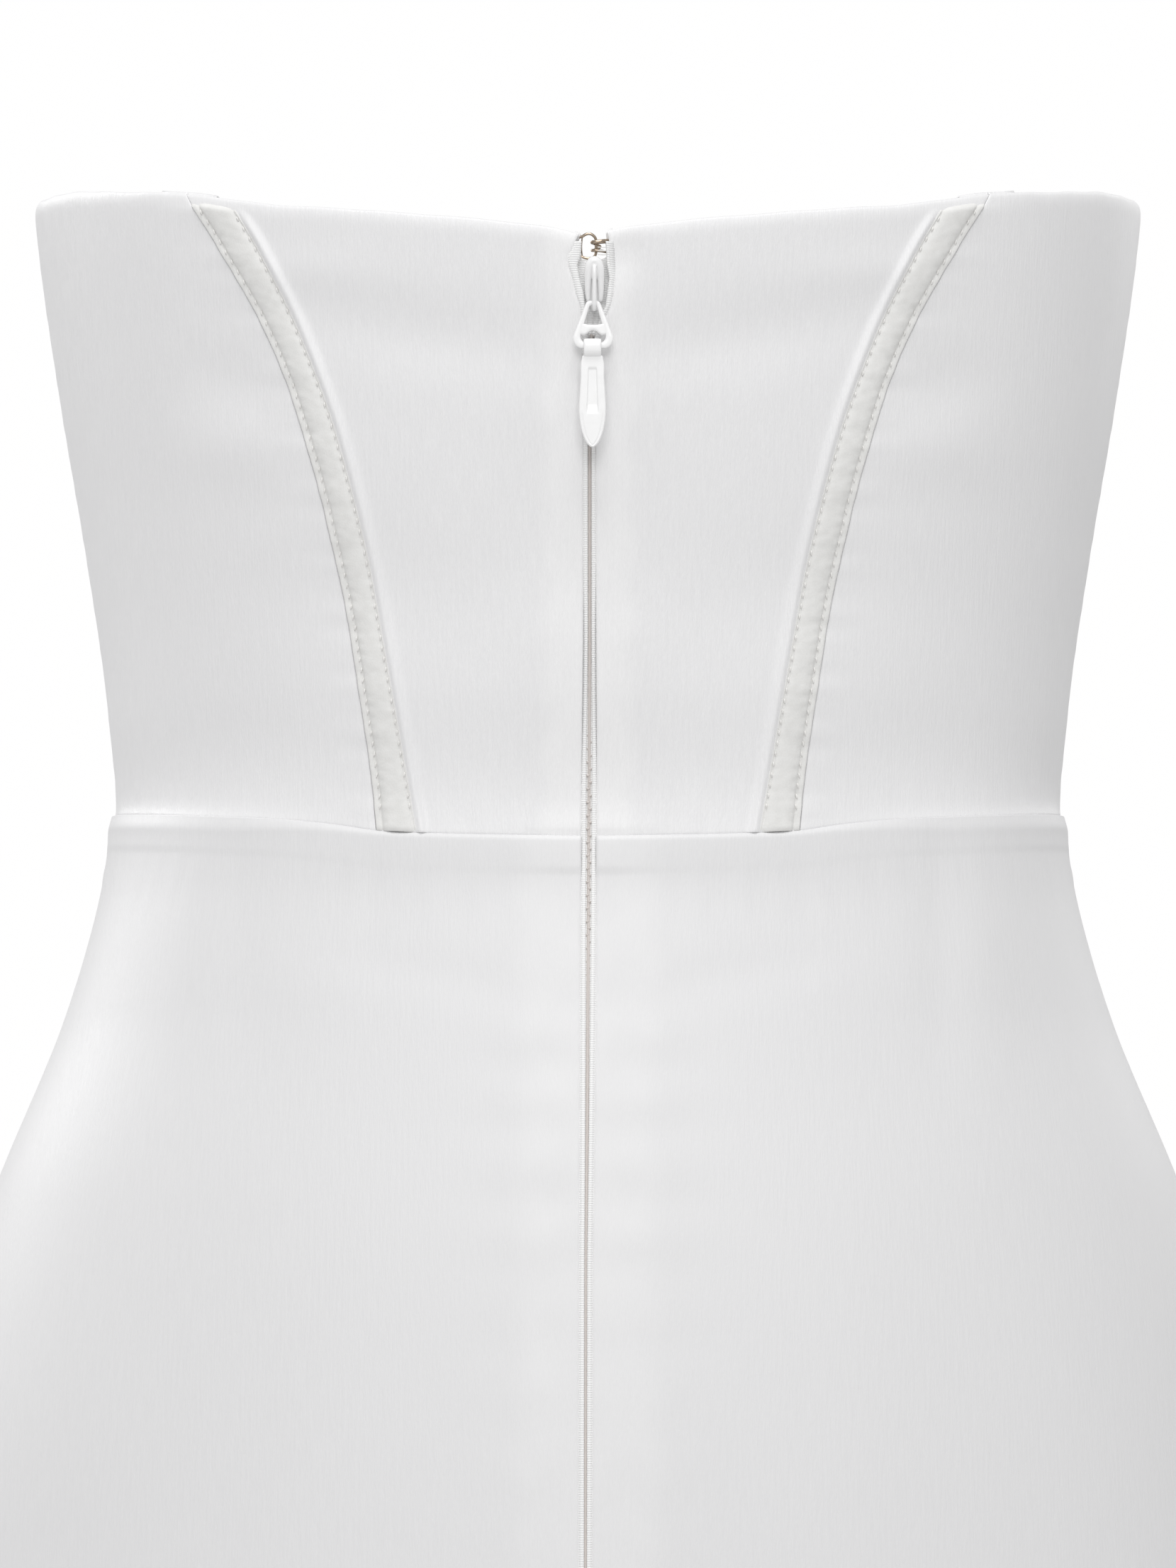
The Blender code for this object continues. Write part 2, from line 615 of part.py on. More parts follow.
def add_slider(metal, collection, tools):
    """The slider: a domed crown, two legs, a plate behind and a bridge that holds the link."""
    piece = add_object("zip_slider", block_mesh("zip_slider", SLIDER_PLATE), metal, collection)
    meshes = [dome_mesh("slider_crown", CROWN_CENTRE, CROWN_RADII)]
    meshes.append(block_mesh("slider_tongue", SLIDER_TONGUE))
    for name, side in (("slider_leg_left", 1), ("slider_leg_right", -1)):
        route = [(side * across, out, up) for across, out, up in LEG_ROUTE]
        meshes.append(wire_mesh(name, route, LEG_WIRE))
    bridge = list(BRIDGE_TOP) + [(0, BRIDGE_OUT, -HINGE_DOWN)]
    for angle in CURL_ANGLES:
        out = HINGE_OUT + CURL_RADIUS * math.cos(math.radians(angle))
        bridge.append((0, out, -HINGE_DOWN - CURL_RADIUS * math.sin(math.radians(angle))))
    meshes.append(wire_mesh("slider_bridge", bridge + [BRIDGE_END], BRIDGE_WIRE))
    lean = back_lean(SLIDER_HEIGHT)
    solids = [add_tool(mesh.name, mesh, tools) for mesh in meshes]
    for solid in solids + [piece]:
        solid.location = [value * MM for value in on_back(SLIDER_ACROSS, 0, 0)]
        solid.rotation_euler = (-lean, 0, 0)
    join(piece, solids)


def link_hinge():
    """Where the link turns, under the slider's bridge."""
    place = on_back(0, HINGE_OUT, -HINGE_DOWN)
    return np.array([LINK_ACROSS, place[1], place[2]])


def tab_hinge():
    """Where the tab turns, on the link's lowest bar."""
    place = link_hinge()
    return np.array([TAB_ACROSS, place[1], place[2] - TAB_DROP])


def add_link(metal, collection):
    """The flat link, hanging from the bridge."""
    outlines = [hull_outline(LINK_OUTLINE), hull_outline(LINK_TOP_HOLE), hull_outline(LINK_LOW_HOLE)]
    mesh = plate_mesh("zip_pull_link", outlines, LINK_THICKNESS, LINK_EDGE)
    turn_mesh(mesh, QUARTER_TURN, "X")
    piece = add_object("zip_pull_link", mesh, metal, collection)
    piece.location = [value * MM for value in link_hinge()]


def add_tab(metal, collection, tools):
    """The tab: a tapering plate with a loop that turns on the link."""
    right = [(half_width, -down) for down, half_width in zip(TAB["down"], TAB["half_width"])]
    left = [(-across, up) for across, up in right[::-1]]
    mesh = plate_mesh("zip_pull_tab", [right + left], TAB_THICKNESS, TAB_EDGE)
    turn_mesh(mesh, QUARTER_TURN, "X")
    piece = add_object("zip_pull_tab", mesh, metal, collection)
    outlines = [hull_outline(LOOP_OUTLINE), hull_outline(LOOP_HOLE)]
    loop = plate_mesh("tab_loop", outlines, 2 * LOOP_HALF_WIDTH, LOOP_EDGE)
    turn_mesh(loop, QUARTER_TURN, "X")
    turn_mesh(loop, QUARTER_TURN, "Z")
    solid = add_tool("tab_loop", loop, tools)
    piece.location = [value * MM for value in tab_hinge()]
    solid.location = piece.location
    join(piece, [solid])


def add_fastener(name, route, metal, collection):
    """A bent wire, placed against the inside of the back's top edge."""
    places = []
    for across, out, height in route:
        turn = turn_at(np.array(across), np.array(height))
        places.append(moved_out(turn, np.array(height), out).tolist())
    add_object(name, wire_mesh(name, places, FASTENER_WIRE), metal, collection)


for old in list(bpy.data.objects):
    bpy.data.objects.remove(old)
gown = bpy.data.collections.new("corset_gown")
joining = bpy.data.collections.new("joining_solids")
bpy.context.scene.collection.children.link(gown)
bpy.context.scene.collection.children.link(joining)
finish = {name: make_material(name) for name in FINISHES}

add_bodice(finish["satin"], gown)
add_channels(finish["channel_twill"], gown)
add_skirt(finish["satin"], gown)
add_tapes(finish["zip_tape"], gown)
add_slider(finish["lacquered_metal"], gown, joining)
add_link(finish["lacquered_metal"], gown)
add_tab(finish["lacquered_metal"], gown, joining)
add_fastener("eye", EYE_ROUTE, finish["fastener_wire"], gown)
add_fastener("hook", HOOK_ROUTE, finish["fastener_wire"], gown)
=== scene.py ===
import math

import bmesh
import bpy
import numpy as np
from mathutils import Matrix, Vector


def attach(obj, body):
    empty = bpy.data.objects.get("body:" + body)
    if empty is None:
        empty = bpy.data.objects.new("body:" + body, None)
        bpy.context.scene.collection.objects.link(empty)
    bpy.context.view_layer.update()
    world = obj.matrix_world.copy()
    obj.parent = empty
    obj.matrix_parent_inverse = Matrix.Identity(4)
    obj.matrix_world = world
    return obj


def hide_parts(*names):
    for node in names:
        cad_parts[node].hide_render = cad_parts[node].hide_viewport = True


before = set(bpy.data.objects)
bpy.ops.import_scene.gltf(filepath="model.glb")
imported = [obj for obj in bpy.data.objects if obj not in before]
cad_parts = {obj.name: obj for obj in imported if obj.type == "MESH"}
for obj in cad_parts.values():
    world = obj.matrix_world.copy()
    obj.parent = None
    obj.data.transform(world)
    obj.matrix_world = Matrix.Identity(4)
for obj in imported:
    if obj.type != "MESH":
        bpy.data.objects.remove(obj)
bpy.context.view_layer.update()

# A strapless white satin corset gown, worn and seen from behind. Its front faces -Y and +Z is up. Tables are
# in millimetres, and a place round the body is a turn in degrees: 0 at the centre back, 90 at the left side.


# Camera
# It stands behind the wearer at hip height and looks slightly up, so that the gown's front hides behind the
# back's top edge. The photograph is 1659 by 2212 pixels, and 6 of them are 1 mm at the zip.
PHOTO_HEIGHT, PIXELS_TO_A_METRE = 2212, 6000
SENSOR_HEIGHT = 36.0
camera = bpy.data.objects.new("camera", bpy.data.cameras.new("camera"))
bpy.context.scene.collection.objects.link(camera)
camera.location = (0.0, 1.285, -0.120)
aim = Vector((0.0, 0.083, 0.006)) - camera.location
camera.rotation_mode = "QUATERNION"
camera.rotation_quaternion = aim.to_track_quat("-Z", "Y")
camera.data.sensor_fit = "VERTICAL"
camera.data.sensor_height = SENSOR_HEIGHT
camera.data.lens = SENSOR_HEIGHT * aim.length / (PHOTO_HEIGHT / PIXELS_TO_A_METRE)
camera.data.clip_start = 0.05
camera.data.clip_end = 60.0
bpy.context.scene.camera = camera


# Studio
# A pale floor under the hem, a white surround, and four wide soft lights: one overhead that models the
# folds, one above the camera, and one at each side of the gown's front for the views from there.
def area_light(name, place, width, power):
    """A square soft light that looks at the gown's waist."""
    lamp = bpy.data.lights.new(name, "AREA")
    lamp.size = width
    lamp.energy = power
    light = bpy.data.objects.new(name, lamp)
    light.location = place
    light.rotation_mode = "QUATERNION"
    light.rotation_quaternion = (-Vector(place)).to_track_quat("-Z", "Y")
    bpy.context.scene.collection.objects.link(light)


def feed(tree, node, inputs):
    """Gives a node's inputs their values, or links them to the outputs that feed them."""
    for name, value in inputs.items():
        if isinstance(value, bpy.types.NodeSocket):
            tree.links.new(value, node.inputs[name])
        else:
            node.inputs[name].default_value = value


def add_node(tree, kind, inputs, **settings):
    """One node: its settings, then its inputs. It gives its first output that is switched on."""
    node = tree.nodes.new(kind)
    for name, value in settings.items():
        setattr(node, name, value)
    feed(tree, node, inputs)
    return next((output for output in node.outputs if output.enabled), None)


def object_place(tree):
    """A point's place in the gown's own frame."""
    return tree.nodes.new("ShaderNodeTexCoord").outputs["Object"]


def noise_at(tree, place, scale, detail):
    """Noise at a place: so many spots to the metre, each with finer ones on it."""
    return add_node(tree, "ShaderNodeTexNoise", {"Vector": place, "Scale": scale, "Detail": detail})


def between(tree, share, low, high):
    """A share stretched or squeezed to the numbers between a low and a high."""
    return add_node(tree, "ShaderNodeMapRange", {"Value": share, "To Min": low, "To Max": high})


def tone_between(tree, share, first, second):
    """A colour between two others: the first where the share is 0, the second where it is 1."""
    colours = {"A": (*first, 1.0), "B": (*second, 1.0)}
    return add_node(tree, "ShaderNodeMix", {"Factor": share, **colours}, data_type="RGBA")


def new_material(name):
    """A plain material, with its node tree and its shader."""
    finish = bpy.data.materials.new(name)
    finish.use_nodes = True
    return finish, finish.node_tree, finish.node_tree.nodes["Principled BSDF"]


area_light("key_overhead", (0.0, 1.0, 2.3), 1.0, 22)
area_light("key_above_camera", (0.0, 2.0, 1.05), 1.0, 13)
area_light("fill_front_left", (2.4, -1.5, 1.5), 1.4, 34)
area_light("fill_front_right", (-1.9, -2.1, 1.3), 1.8, 12)

surround = bpy.data.worlds.new("surround")
surround.use_nodes = True
bpy.context.scene.world = surround
surround.node_tree.nodes.clear()
seen_directly = surround.node_tree.nodes.new("ShaderNodeLightPath").outputs["Is Camera Ray"]
strength = between(surround.node_tree, seen_directly, 0.53, 1.0)
glow = add_node(
    surround.node_tree, "ShaderNodeBackground", {"Color": (1.0, 0.998, 0.998, 1.0), "Strength": strength},
)
add_node(surround.node_tree, "ShaderNodeOutputWorld", {"Surface": glow})
bpy.context.scene.view_settings.view_transform = "Standard"

floor_mesh = bpy.data.meshes.new("floor")
FLOOR_HALF, FLOOR_HEIGHT = 30.0, -1.0612
floor_mesh.from_pydata(
    [(x * FLOOR_HALF, y * FLOOR_HALF, FLOOR_HEIGHT) for x, y in ((-1, -1), (1, -1), (1, 1), (-1, 1))],
    [], [(0, 1, 2, 3)],
)
floor = bpy.data.objects.new("floor", floor_mesh)
bpy.context.scene.collection.objects.link(floor)
paper, tree, shader = new_material("floor_paper")
cloud = noise_at(tree, object_place(tree), 3.0, 4.0)
shade = tone_between(tree, cloud, (0.80, 0.80, 0.80), (0.84, 0.84, 0.84))
feed(tree, shader, {"Base Color": shade, "Roughness": 0.9})
floor_mesh.materials.append(paper)


# Centre backs
# The two panels beside the zip, of heavy white duchess satin cut on the straight grain. Each is turned in at
# the zip, at the princess seam and at the waist, and folded over at the top, where the fold stands a little
# proud. The bodice keeps the form of the body, and the drag of the zip pulls shallow troughs across it.
MM = 0.001
SIDES = (("left", True), ("right", False))
SATIN_THICKNESS = 0.5
RINGS = {
    "height": (-1060, -800, -600, -400, -280, -200, -140, -90, -45, -15, 0, 30, 70, 110, 150, 210),
    "half_width": (300, 258, 226, 196, 182, 174, 163, 148, 130, 120, 118, 120, 126, 133, 139, 143),
    "front_depth": (236, 196, 164, 138, 126, 120, 114, 107, 98, 91, 89, 90, 94, 99, 101, 97),
    "back_depth": (250, 205, 170, 142, 128, 121, 113, 103, 91, 83, 81, 82, 87, 93, 98, 102),
}
SQUARENESS_BACK = 2.3
SQUARENESS_FRONT = 2.1
TOP_EDGE = {
    "turn": (0, 2, 5, 10, 20, 29, 37, 60, 90, 115, 135, 150, 165, 180),
    "height": (134.2, 136.0, 137.4, 139.1, 141.5, 143.9, 147.1, 154.2, 161, 169.5, 175, 176, 173.5, 170),
}
WAIST_SEAM = {
    "turn": (0, 8, 14, 22, 26, 34, 46, 90, 180),
    "height": (-6.2, -5.7, -5.3, -4.3, -3.0, -1.2, 0.5, 5.8, 4.2),
}
BACK_SEAM = {
    "height": (-10, 9, 26, 44, 63, 77, 92, 106, 120, 135, 150),
    "seam": (49.6, 51.4, 53.7, 56.6, 60.6, 63.8, 68.2, 73.3, 79.8, 88.3, 97.5),
    "channel_inner": (37.6, 40.8, 43.6, 46.9, 50.6, 53.9, 58.2, 63.4, 69.4, 77.0, 86.2),
}
ZIP = {
    "height": (-188, -106, -75, -43, 14, 40, 106, 112, 115.5, 118, 121, 124.5, 127.5, 129.5, 131.5, 134.6),
    "middle": (0.6, 0.5, 0.2, 0, -0.3, -0.4, -0.4, -0.9, -1.3, -1.7, -1.75, -1.45, -1, -1.3, -1.35, -1.3),
    "half_slit": (0.3, 0.3, 0.4, 0.55, 0.68, 0.42, 0.42, 0.95, 1.7, 2.5, 2.85, 3.65, 3.6, 3.2, 3.05, 2.9),
    "left_tape": (0.95, 0.95, 0.95, 0.95, 0.95, 0.95, 0.95, 0.95, 0.9, 0.9, 1.6, 1.3, 1.9, 2.6, 1.6, 0.4),
    "right_tape": (0.95, 0.95, 0.95, 0.95, 0.95, 0.95, 0.75, 0.75, 0.9, 0.9, 1.2, 0.7, 0.6, 0.6, 0.6, 0.4),
}
ZIP_END = -189.0
ZIP_END_SLOPE = 8.0
EDGE_WAVES = {"height": (0.12, 0.08), "pace": (0.31, 0.83), "start": (1.0, 0.0)}
PUCKER_WAVES = {"share": (0.6, 0.4), "pace": (0.66, 1.10), "start": 1.3, "drift": 0.4, "drift_pace": 0.21}
SIDE_SEAM = {"turn": 90.0, "mm_to_a_degree": 2.0, "dip": 0.4, "dip_spread": 2.0, "pucker": 0.2, "reach": 5.0}
WAIST_PUCKER = {"height": 5.0, "reach": 5.0, "depth": 0.1}

BACK_PUCKER = {"reach": 4.0, "depth": 0.16}

# The rolls that stand beside the waist seam: one at the zip, and one that grows towards the sides
ZIP_ROLL = {"height": 0.3, "half_width": 9, "start": 0.6, "peak": 1.6}
SIDE_ROLL = {"height": 0.9, "from": 58, "over": 25, "fade": 2.5}

# Soft troughs (below zero) and ridges of the back, on both sides of the zip
BACK_CREASES = {
    "across": (38, 68, 45, 8, 10, 84, 80, 70, 78, 24, 60, 0),
    "height": (111.5, 128, 77, 43, 96, 103, 87, 64, 18, 22, 58, 27),
    "slope": (0.17, 0.1, 0.08, 0.0, 0.0, 0.2, 0.15, 0.1, 0.05, 0.1, 0.3, 0.0),
    "spread_across": (26, 14, 26, 9, 8, 9, 11, 10, 20, 16, 14, 70),
    "spread_up": (6.5, 3.5, 15, 10, 12, 6, 6, 7, 12, 13, 9, 14),
    "depth": (-0.9, 0.4, 0.8, 0.6, 0.35, -0.8, 0.7, 0.5, -1.3, -0.6, -0.5, 2.0),
}

# A turned-in edge, from its allowance's end to the flat cloth: how far from the seam, and how far out
SEAM_FOLD = {
    "across": (8.0, 4.5, 1.6, 0.5, 0.12, 0.02, 0.05, 0.2, 0.5, 1.1, 2.2),
    "out": (-0.95, -0.95, -0.85, -0.7, -0.5, -0.3, -0.19, -0.09, -0.03, 0.0, 0.0),
}
SEAM_FOLD_LAST = {"across": [-place for place in SEAM_FOLD["across"][::-1]], "out": SEAM_FOLD["out"][::-1]}
ZIP_FOLD = {
    "across": (1.2, 0.5, 0.1, 0.04, 0.14, 0.4, 0.9, 1.7, 3.0),
    "out": (-1.45, -1.4, -1.1, -0.6, -0.25, -0.08, -0.02, 0.0, 0.0),
}
WAIST_FOLD = {
    "lift": (8.0, 4.0, 1.4, 0.4, 0.1, 0.0, 0.0, 0.05, 0.2, 0.6, 1.2, 2.0, 3.2, 4.6),
    "out": (-1.1, -1.1, -1.0, -0.9, -0.7, -0.45, -0.25, -0.1, -0.03, 0.0, 0.0, 0.0, 0.0, 0.0),
}
TOP_FOLD = {
    "lift": (-7.0, -5.0, -3.8, -3.1, -2.5, -1.9, -1.3, -0.75, -0.3, 0.0, -0.1, -0.5, -1.5, -5.0, -10.0),
    "out": (0.0, 0.0, 0.0, -0.02, -0.06, -0.13, -0.24, -0.4, -0.64, -1.0, -1.35, -1.6, -1.7, -1.7, -1.7),
}


def smooth(value, places, amounts):
    """A curve through a table's rows: cubic pieces that meet with the same slope."""
    places = np.asarray(places, float)
    amounts = np.asarray(amounts, float)
    slopes = np.gradient(amounts, places)
    row = np.clip(np.searchsorted(places, value) - 1, 0, len(places) - 2)
    span = places[row + 1] - places[row]
    t = np.clip((value - places[row]) / span, 0, 1)
    start = (2 * t**3 - 3 * t**2 + 1) * amounts[row] + (t**3 - 2 * t**2 + t) * span * slopes[row]
    end = (3 * t**2 - 2 * t**3) * amounts[row + 1] + (t**3 - t**2) * span * slopes[row + 1]
    return start + end


def bell(distance, spread):
    """A bell curve of a distance."""
    return np.exp(-0.5 * (distance / spread) ** 2)


def from_back(turn):
    """How many degrees a turn is from the centre back, either way round."""
    return np.abs((turn + 180) % 360 - 180)


def facing(turn, direction):
    """1 on the back (direction 1) or the front (direction -1), 0 beyond the side: 4 times a cosine."""
    return np.clip(4 * direction * np.cos(np.radians(turn)), 0, 1)


def body_point(turn, height):
    """The body's rings, x = half width times sine to a power and y = depth times cosine to a power."""
    turn, height = np.broadcast_arrays(np.asarray(turn, float), np.asarray(height, float))
    sine, cosine = np.sin(np.radians(turn)), np.cos(np.radians(turn))
    is_back = cosine >= 0
    power = np.where(is_back, 2 / SQUARENESS_BACK, 2 / SQUARENESS_FRONT)
    back = smooth(height, RINGS["height"], RINGS["back_depth"])
    front = smooth(height, RINGS["height"], RINGS["front_depth"])
    x = np.sign(sine) * smooth(height, RINGS["height"], RINGS["half_width"]) * np.abs(sine) ** power
    y = np.sign(cosine) * np.where(is_back, back, front) * np.abs(cosine) ** power
    return np.stack([x, y, height], axis=-1)


def across_at(turn, height):
    """The body's distance from the middle, to the left or the right."""
    return np.abs(body_point(turn, height)[..., 0])


def moved_out(surface, turn, height, out):
    """A surface's point moved along its outward direction, which is the cross product of its two slopes."""
    step = 0.05
    around = surface(turn + step, height) - surface(turn - step, height)
    up = surface(turn, height + step) - surface(turn, height - step)
    outward = np.cross(up, around)
    outward /= np.linalg.norm(outward, axis=-1, keepdims=True)
    return surface(turn, height) + out[..., None] * outward


def turn_at(x, height, is_front=False):
    """The turn at which a ring stands x from the middle: the ring's formula solved for the turn."""
    power = (SQUARENESS_FRONT if is_front else SQUARENESS_BACK) / 2
    share = np.clip(np.abs(x) / smooth(height, RINGS["height"], RINGS["half_width"]), 0, 1) ** power
    turn = np.degrees(np.arcsin(share))
    return np.sign(x) * (180 - turn if is_front else turn)


def stepped(turn, height, distance):
    """A turn moved round the body by a distance, which is divided by the ring's length in one degree."""
    step = 0.25
    across = body_point(turn + step, height) - body_point(turn - step, height)
    return turn + distance * 2 * step / np.linalg.norm(across, axis=-1)


def top_edge(turn):
    """The top edge's height: its table, with two slow waves as of cloth that isn't quite even."""
    line = smooth(from_back(turn), TOP_EDGE["turn"], TOP_EDGE["height"])
    for wave, pace, start in zip(*EDGE_WAVES.values()):
        line = line + wave * np.sin(from_back(turn) * pace + start)
    return line


def waist_seam(turn):
    """The waist seam's height."""
    return smooth(from_back(turn), WAIST_SEAM["turn"], WAIST_SEAM["height"])


def bodice_height(turn, row):
    """A bodice row's height: its share of the way from the waist seam up to the top edge."""
    return waist_seam(turn) + row * (top_edge(turn) - waist_seam(turn))


def seam_turn(x_of, height_of, row, lift, is_front=False):
    """A seam's turn on each row: its height and its place across are worked out until they agree."""
    turn = turn_at(x_of(lift), lift, is_front)
    for _ in range(12):
        height = height_of(turn, row) + lift
        turn = turn_at(x_of(height), height, is_front)
    return turn


def zip_edge(height, is_left):
    """How far from the middle the satin ends beside the zip: the slit, then the tape that shows."""
    read = {column: np.interp(height, ZIP["height"], ZIP[column]) for column in ZIP}
    side, tape = (1, "left_tape") if is_left else (-1, "right_tape")
    opened = side * read["middle"] + read["half_slit"] + read[tape] + 0.1
    closed = np.clip((ZIP_END - height) / ZIP_END_SLOPE, 0, 1)
    return opened + closed * (side * read["middle"] - opened)


def back_seam(column):
    """A back seam line's distance from the middle, as a function of height."""
    return lambda height: smooth(height, BACK_SEAM["height"], BACK_SEAM[column])


def soft_creases(table, across, height):
    """A sum of soft ridges: depth times a bell curve along a sloping line and across it."""
    total = np.zeros_like(height)
    for middle, at, slope, spread_across, spread_up, depth in zip(*table.values()):
        aside = height - at - slope * (across - middle)
        total += depth * bell(across - middle, spread_across) * bell(aside, spread_up)
    return total


def pucker(distance, along, reach, depth):
    """The small waves that a seam draws up: two sines along it, which fade with the distance from it."""
    long_share, short_share = PUCKER_WAVES["share"]
    long_pace, short_pace = PUCKER_WAVES["pace"]
    drift = PUCKER_WAVES["drift"] * np.sin(along * PUCKER_WAVES["drift_pace"])
    wave = long_share * np.sin(along * long_pace + PUCKER_WAVES["start"])
    wave = wave + short_share * np.sin(along * short_pace + drift)
    return depth * wave * bell(distance, reach)


def side_and_waist_pucker(turn, height):
    """The side seam's dip and puckers, some 2 mm to a degree, and the puckers just above the waist seam."""
    round_body = SIDE_SEAM["mm_to_a_degree"] * from_back(turn)
    from_side = round_body - SIDE_SEAM["mm_to_a_degree"] * SIDE_SEAM["turn"]
    side = pucker(from_side, height, SIDE_SEAM["reach"], SIDE_SEAM["pucker"])
    side = side - SIDE_SEAM["dip"] * bell(from_side, SIDE_SEAM["dip_spread"])
    lift = height - waist_seam(turn) - WAIST_PUCKER["height"]
    return side + pucker(lift, round_body, WAIST_PUCKER["reach"], WAIST_PUCKER["depth"])


def waist_roll(distance, peak):
    """The roll of a pressed seam: it rises to 1 at its peak and dies away beyond it, t times e to 1 - t."""
    t = np.maximum(distance, 0) / peak
    return t * np.exp(1 - t)


def side_roll(across, distance):
    """The roll beside the waist seam that grows towards the sides: e to minus the distance over its fade."""
    share = np.clip((across - SIDE_ROLL["from"]) / SIDE_ROLL["over"], 0, 1)
    return SIDE_ROLL["height"] * share * np.exp(-np.maximum(distance, 0) / SIDE_ROLL["fade"])


def back_relief(turn, height):
    """The back's creases by their distance from the zip, the waist's rolls, and the puckers of the seams."""
    across = across_at(turn, height)
    from_seam = across - back_seam("seam")(height)
    seams = pucker(from_seam, height, BACK_PUCKER["reach"], BACK_PUCKER["depth"])
    seams = seams + side_and_waist_pucker(turn, height)
    lift = height - waist_seam(turn)
    roll = ZIP_ROLL["height"] * bell(across, ZIP_ROLL["half_width"])
    roll = roll * waist_roll(lift - ZIP_ROLL["start"], ZIP_ROLL["peak"]) + side_roll(across, lift)
    return facing(turn, 1) * (soft_creases(BACK_CREASES, across, height) + roll) + seams


def rows_between(below, above, row_low, row_high, count):
    """Rows as share, lift and depth: the lower fold, even rows on the flat cloth, then the upper fold."""
    flat_rows = np.linspace(row_low, row_high, count)
    row = np.concatenate([np.zeros(len(below["lift"])), flat_rows, np.ones(len(above["lift"]))])
    lift = np.concatenate([below["lift"], np.zeros(count), above["lift"]])
    out = np.concatenate([below["out"], np.zeros(count), above["out"]])
    return row, lift, out


def columns_from(lines, shares):
    """Columns between groups of lines, as turns: each stretch between two groups has its own shares."""
    stretches = [lines[0]]
    for near, far, share in zip(lines, lines[1:], shares):
        stretches.append(near[:, -1:] + share[None] * (far[:, :1] - near[:, -1:]))
        stretches.append(far)
    return np.concatenate(stretches, axis=1)


def even(count):
    """Shares that part a stretch evenly, without its two ends."""
    return np.linspace(0, 1, count + 2)[1:-1]


def cut_piece(surface, height_of, rows, lines, line_outs, shares, relief):
    """A panel's points: rows by columns on the surface, moved out by its folds and its relief."""
    row, lift, row_out = rows
    turn = columns_from(lines, shares)
    outs = [np.asarray(line_outs[0])]
    for out, share in zip(line_outs[1:], shares):
        outs += [np.zeros(len(share)), np.asarray(out)]
    height = height_of(turn, row[:, None]) + lift[:, None]
    out = row_out[:, None] + np.concatenate(outs)[None, :] + relief(turn, height)
    return moved_out(surface, turn, height, out)


def mirrored(points):
    """A left panel's points as the right one: x changes sign and the columns run the other way."""
    return (points * np.array([-1, 1, 1]))[:, ::-1]


def grid_mesh(name, points):
    """A mesh of quads through a grid of points. Its UV map is metres round the body and metres of height."""
    rows, columns = points.shape[:2]
    index = np.arange(rows * columns).reshape(rows, columns)
    corners = (index[:-1, :-1], index[1:, :-1], index[1:, 1:], index[:-1, 1:])
    faces = np.stack([corner.ravel() for corner in corners], axis=-1)
    mesh = bpy.data.meshes.new(name)
    mesh.from_pydata((points.reshape(-1, 3) * MM).tolist(), [], faces.tolist())
    x, y, z = np.moveaxis(points, -1, 0)
    around = np.arctan2(x, np.sign(y.mean()) * y) * np.hypot(x, y)
    uv = (np.stack([around, z], axis=-1).reshape(-1, 2) * MM)[faces.ravel()]
    mesh.uv_layers.new(name="cloth").data.foreach_set("uv", uv.ravel())
    mesh.shade_smooth()
    return mesh


def add_piece(name, mesh, finish):
    """An object for a finished mesh, at the origin, with its finish."""
    mesh.materials.append(finish)
    piece = bpy.data.objects.new(name, mesh)
    bpy.context.scene.collection.objects.link(piece)
    return piece


def add_cloth(name, points, finish, thickness):
    """A thin shell of cloth: the outer face, thickened inwards."""
    piece = add_piece(name, grid_mesh(name, points), finish)
    shell = piece.modifiers.new("cloth", "SOLIDIFY")
    shell.thickness = thickness * MM
    shell.offset = -1
    return piece


def pattern(tree, across, along, detail=2.0):
    """A noise pattern on the cloth's UV map, with so many spots to the metre across and along the grain."""
    uv = add_node(tree, "ShaderNodeUVMap", {}, uv_map="cloth")
    scaled = add_node(tree, "ShaderNodeMapping", {"Vector": uv, "Scale": (across, along, 1.0)})
    return noise_at(tree, scaled, 1.0, detail)


def weighed(tree, first, second, share):
    """Two patterns mixed by a share."""
    return add_node(tree, "ShaderNodeMix", {"Factor": share, "A": first, "B": second}, data_type="FLOAT")


def contrasted(tree, noise):
    """Noise with its middle part stretched to the whole of 0 to 1."""
    return add_node(tree, "ShaderNodeMapRange", {"Value": noise, "From Min": 0.36, "From Max": 0.64})


def worked_out(tree, operation, *values):
    """One sum on values or patterns."""
    return add_node(tree, "ShaderNodeMath", dict(enumerate(values)), operation=operation)


def part_of(tree, vector, name):
    """The X, Y or Z of a place."""
    parts = tree.nodes.new("ShaderNodeSeparateXYZ")
    feed(tree, parts, {"Vector": vector})
    return parts.outputs[name]


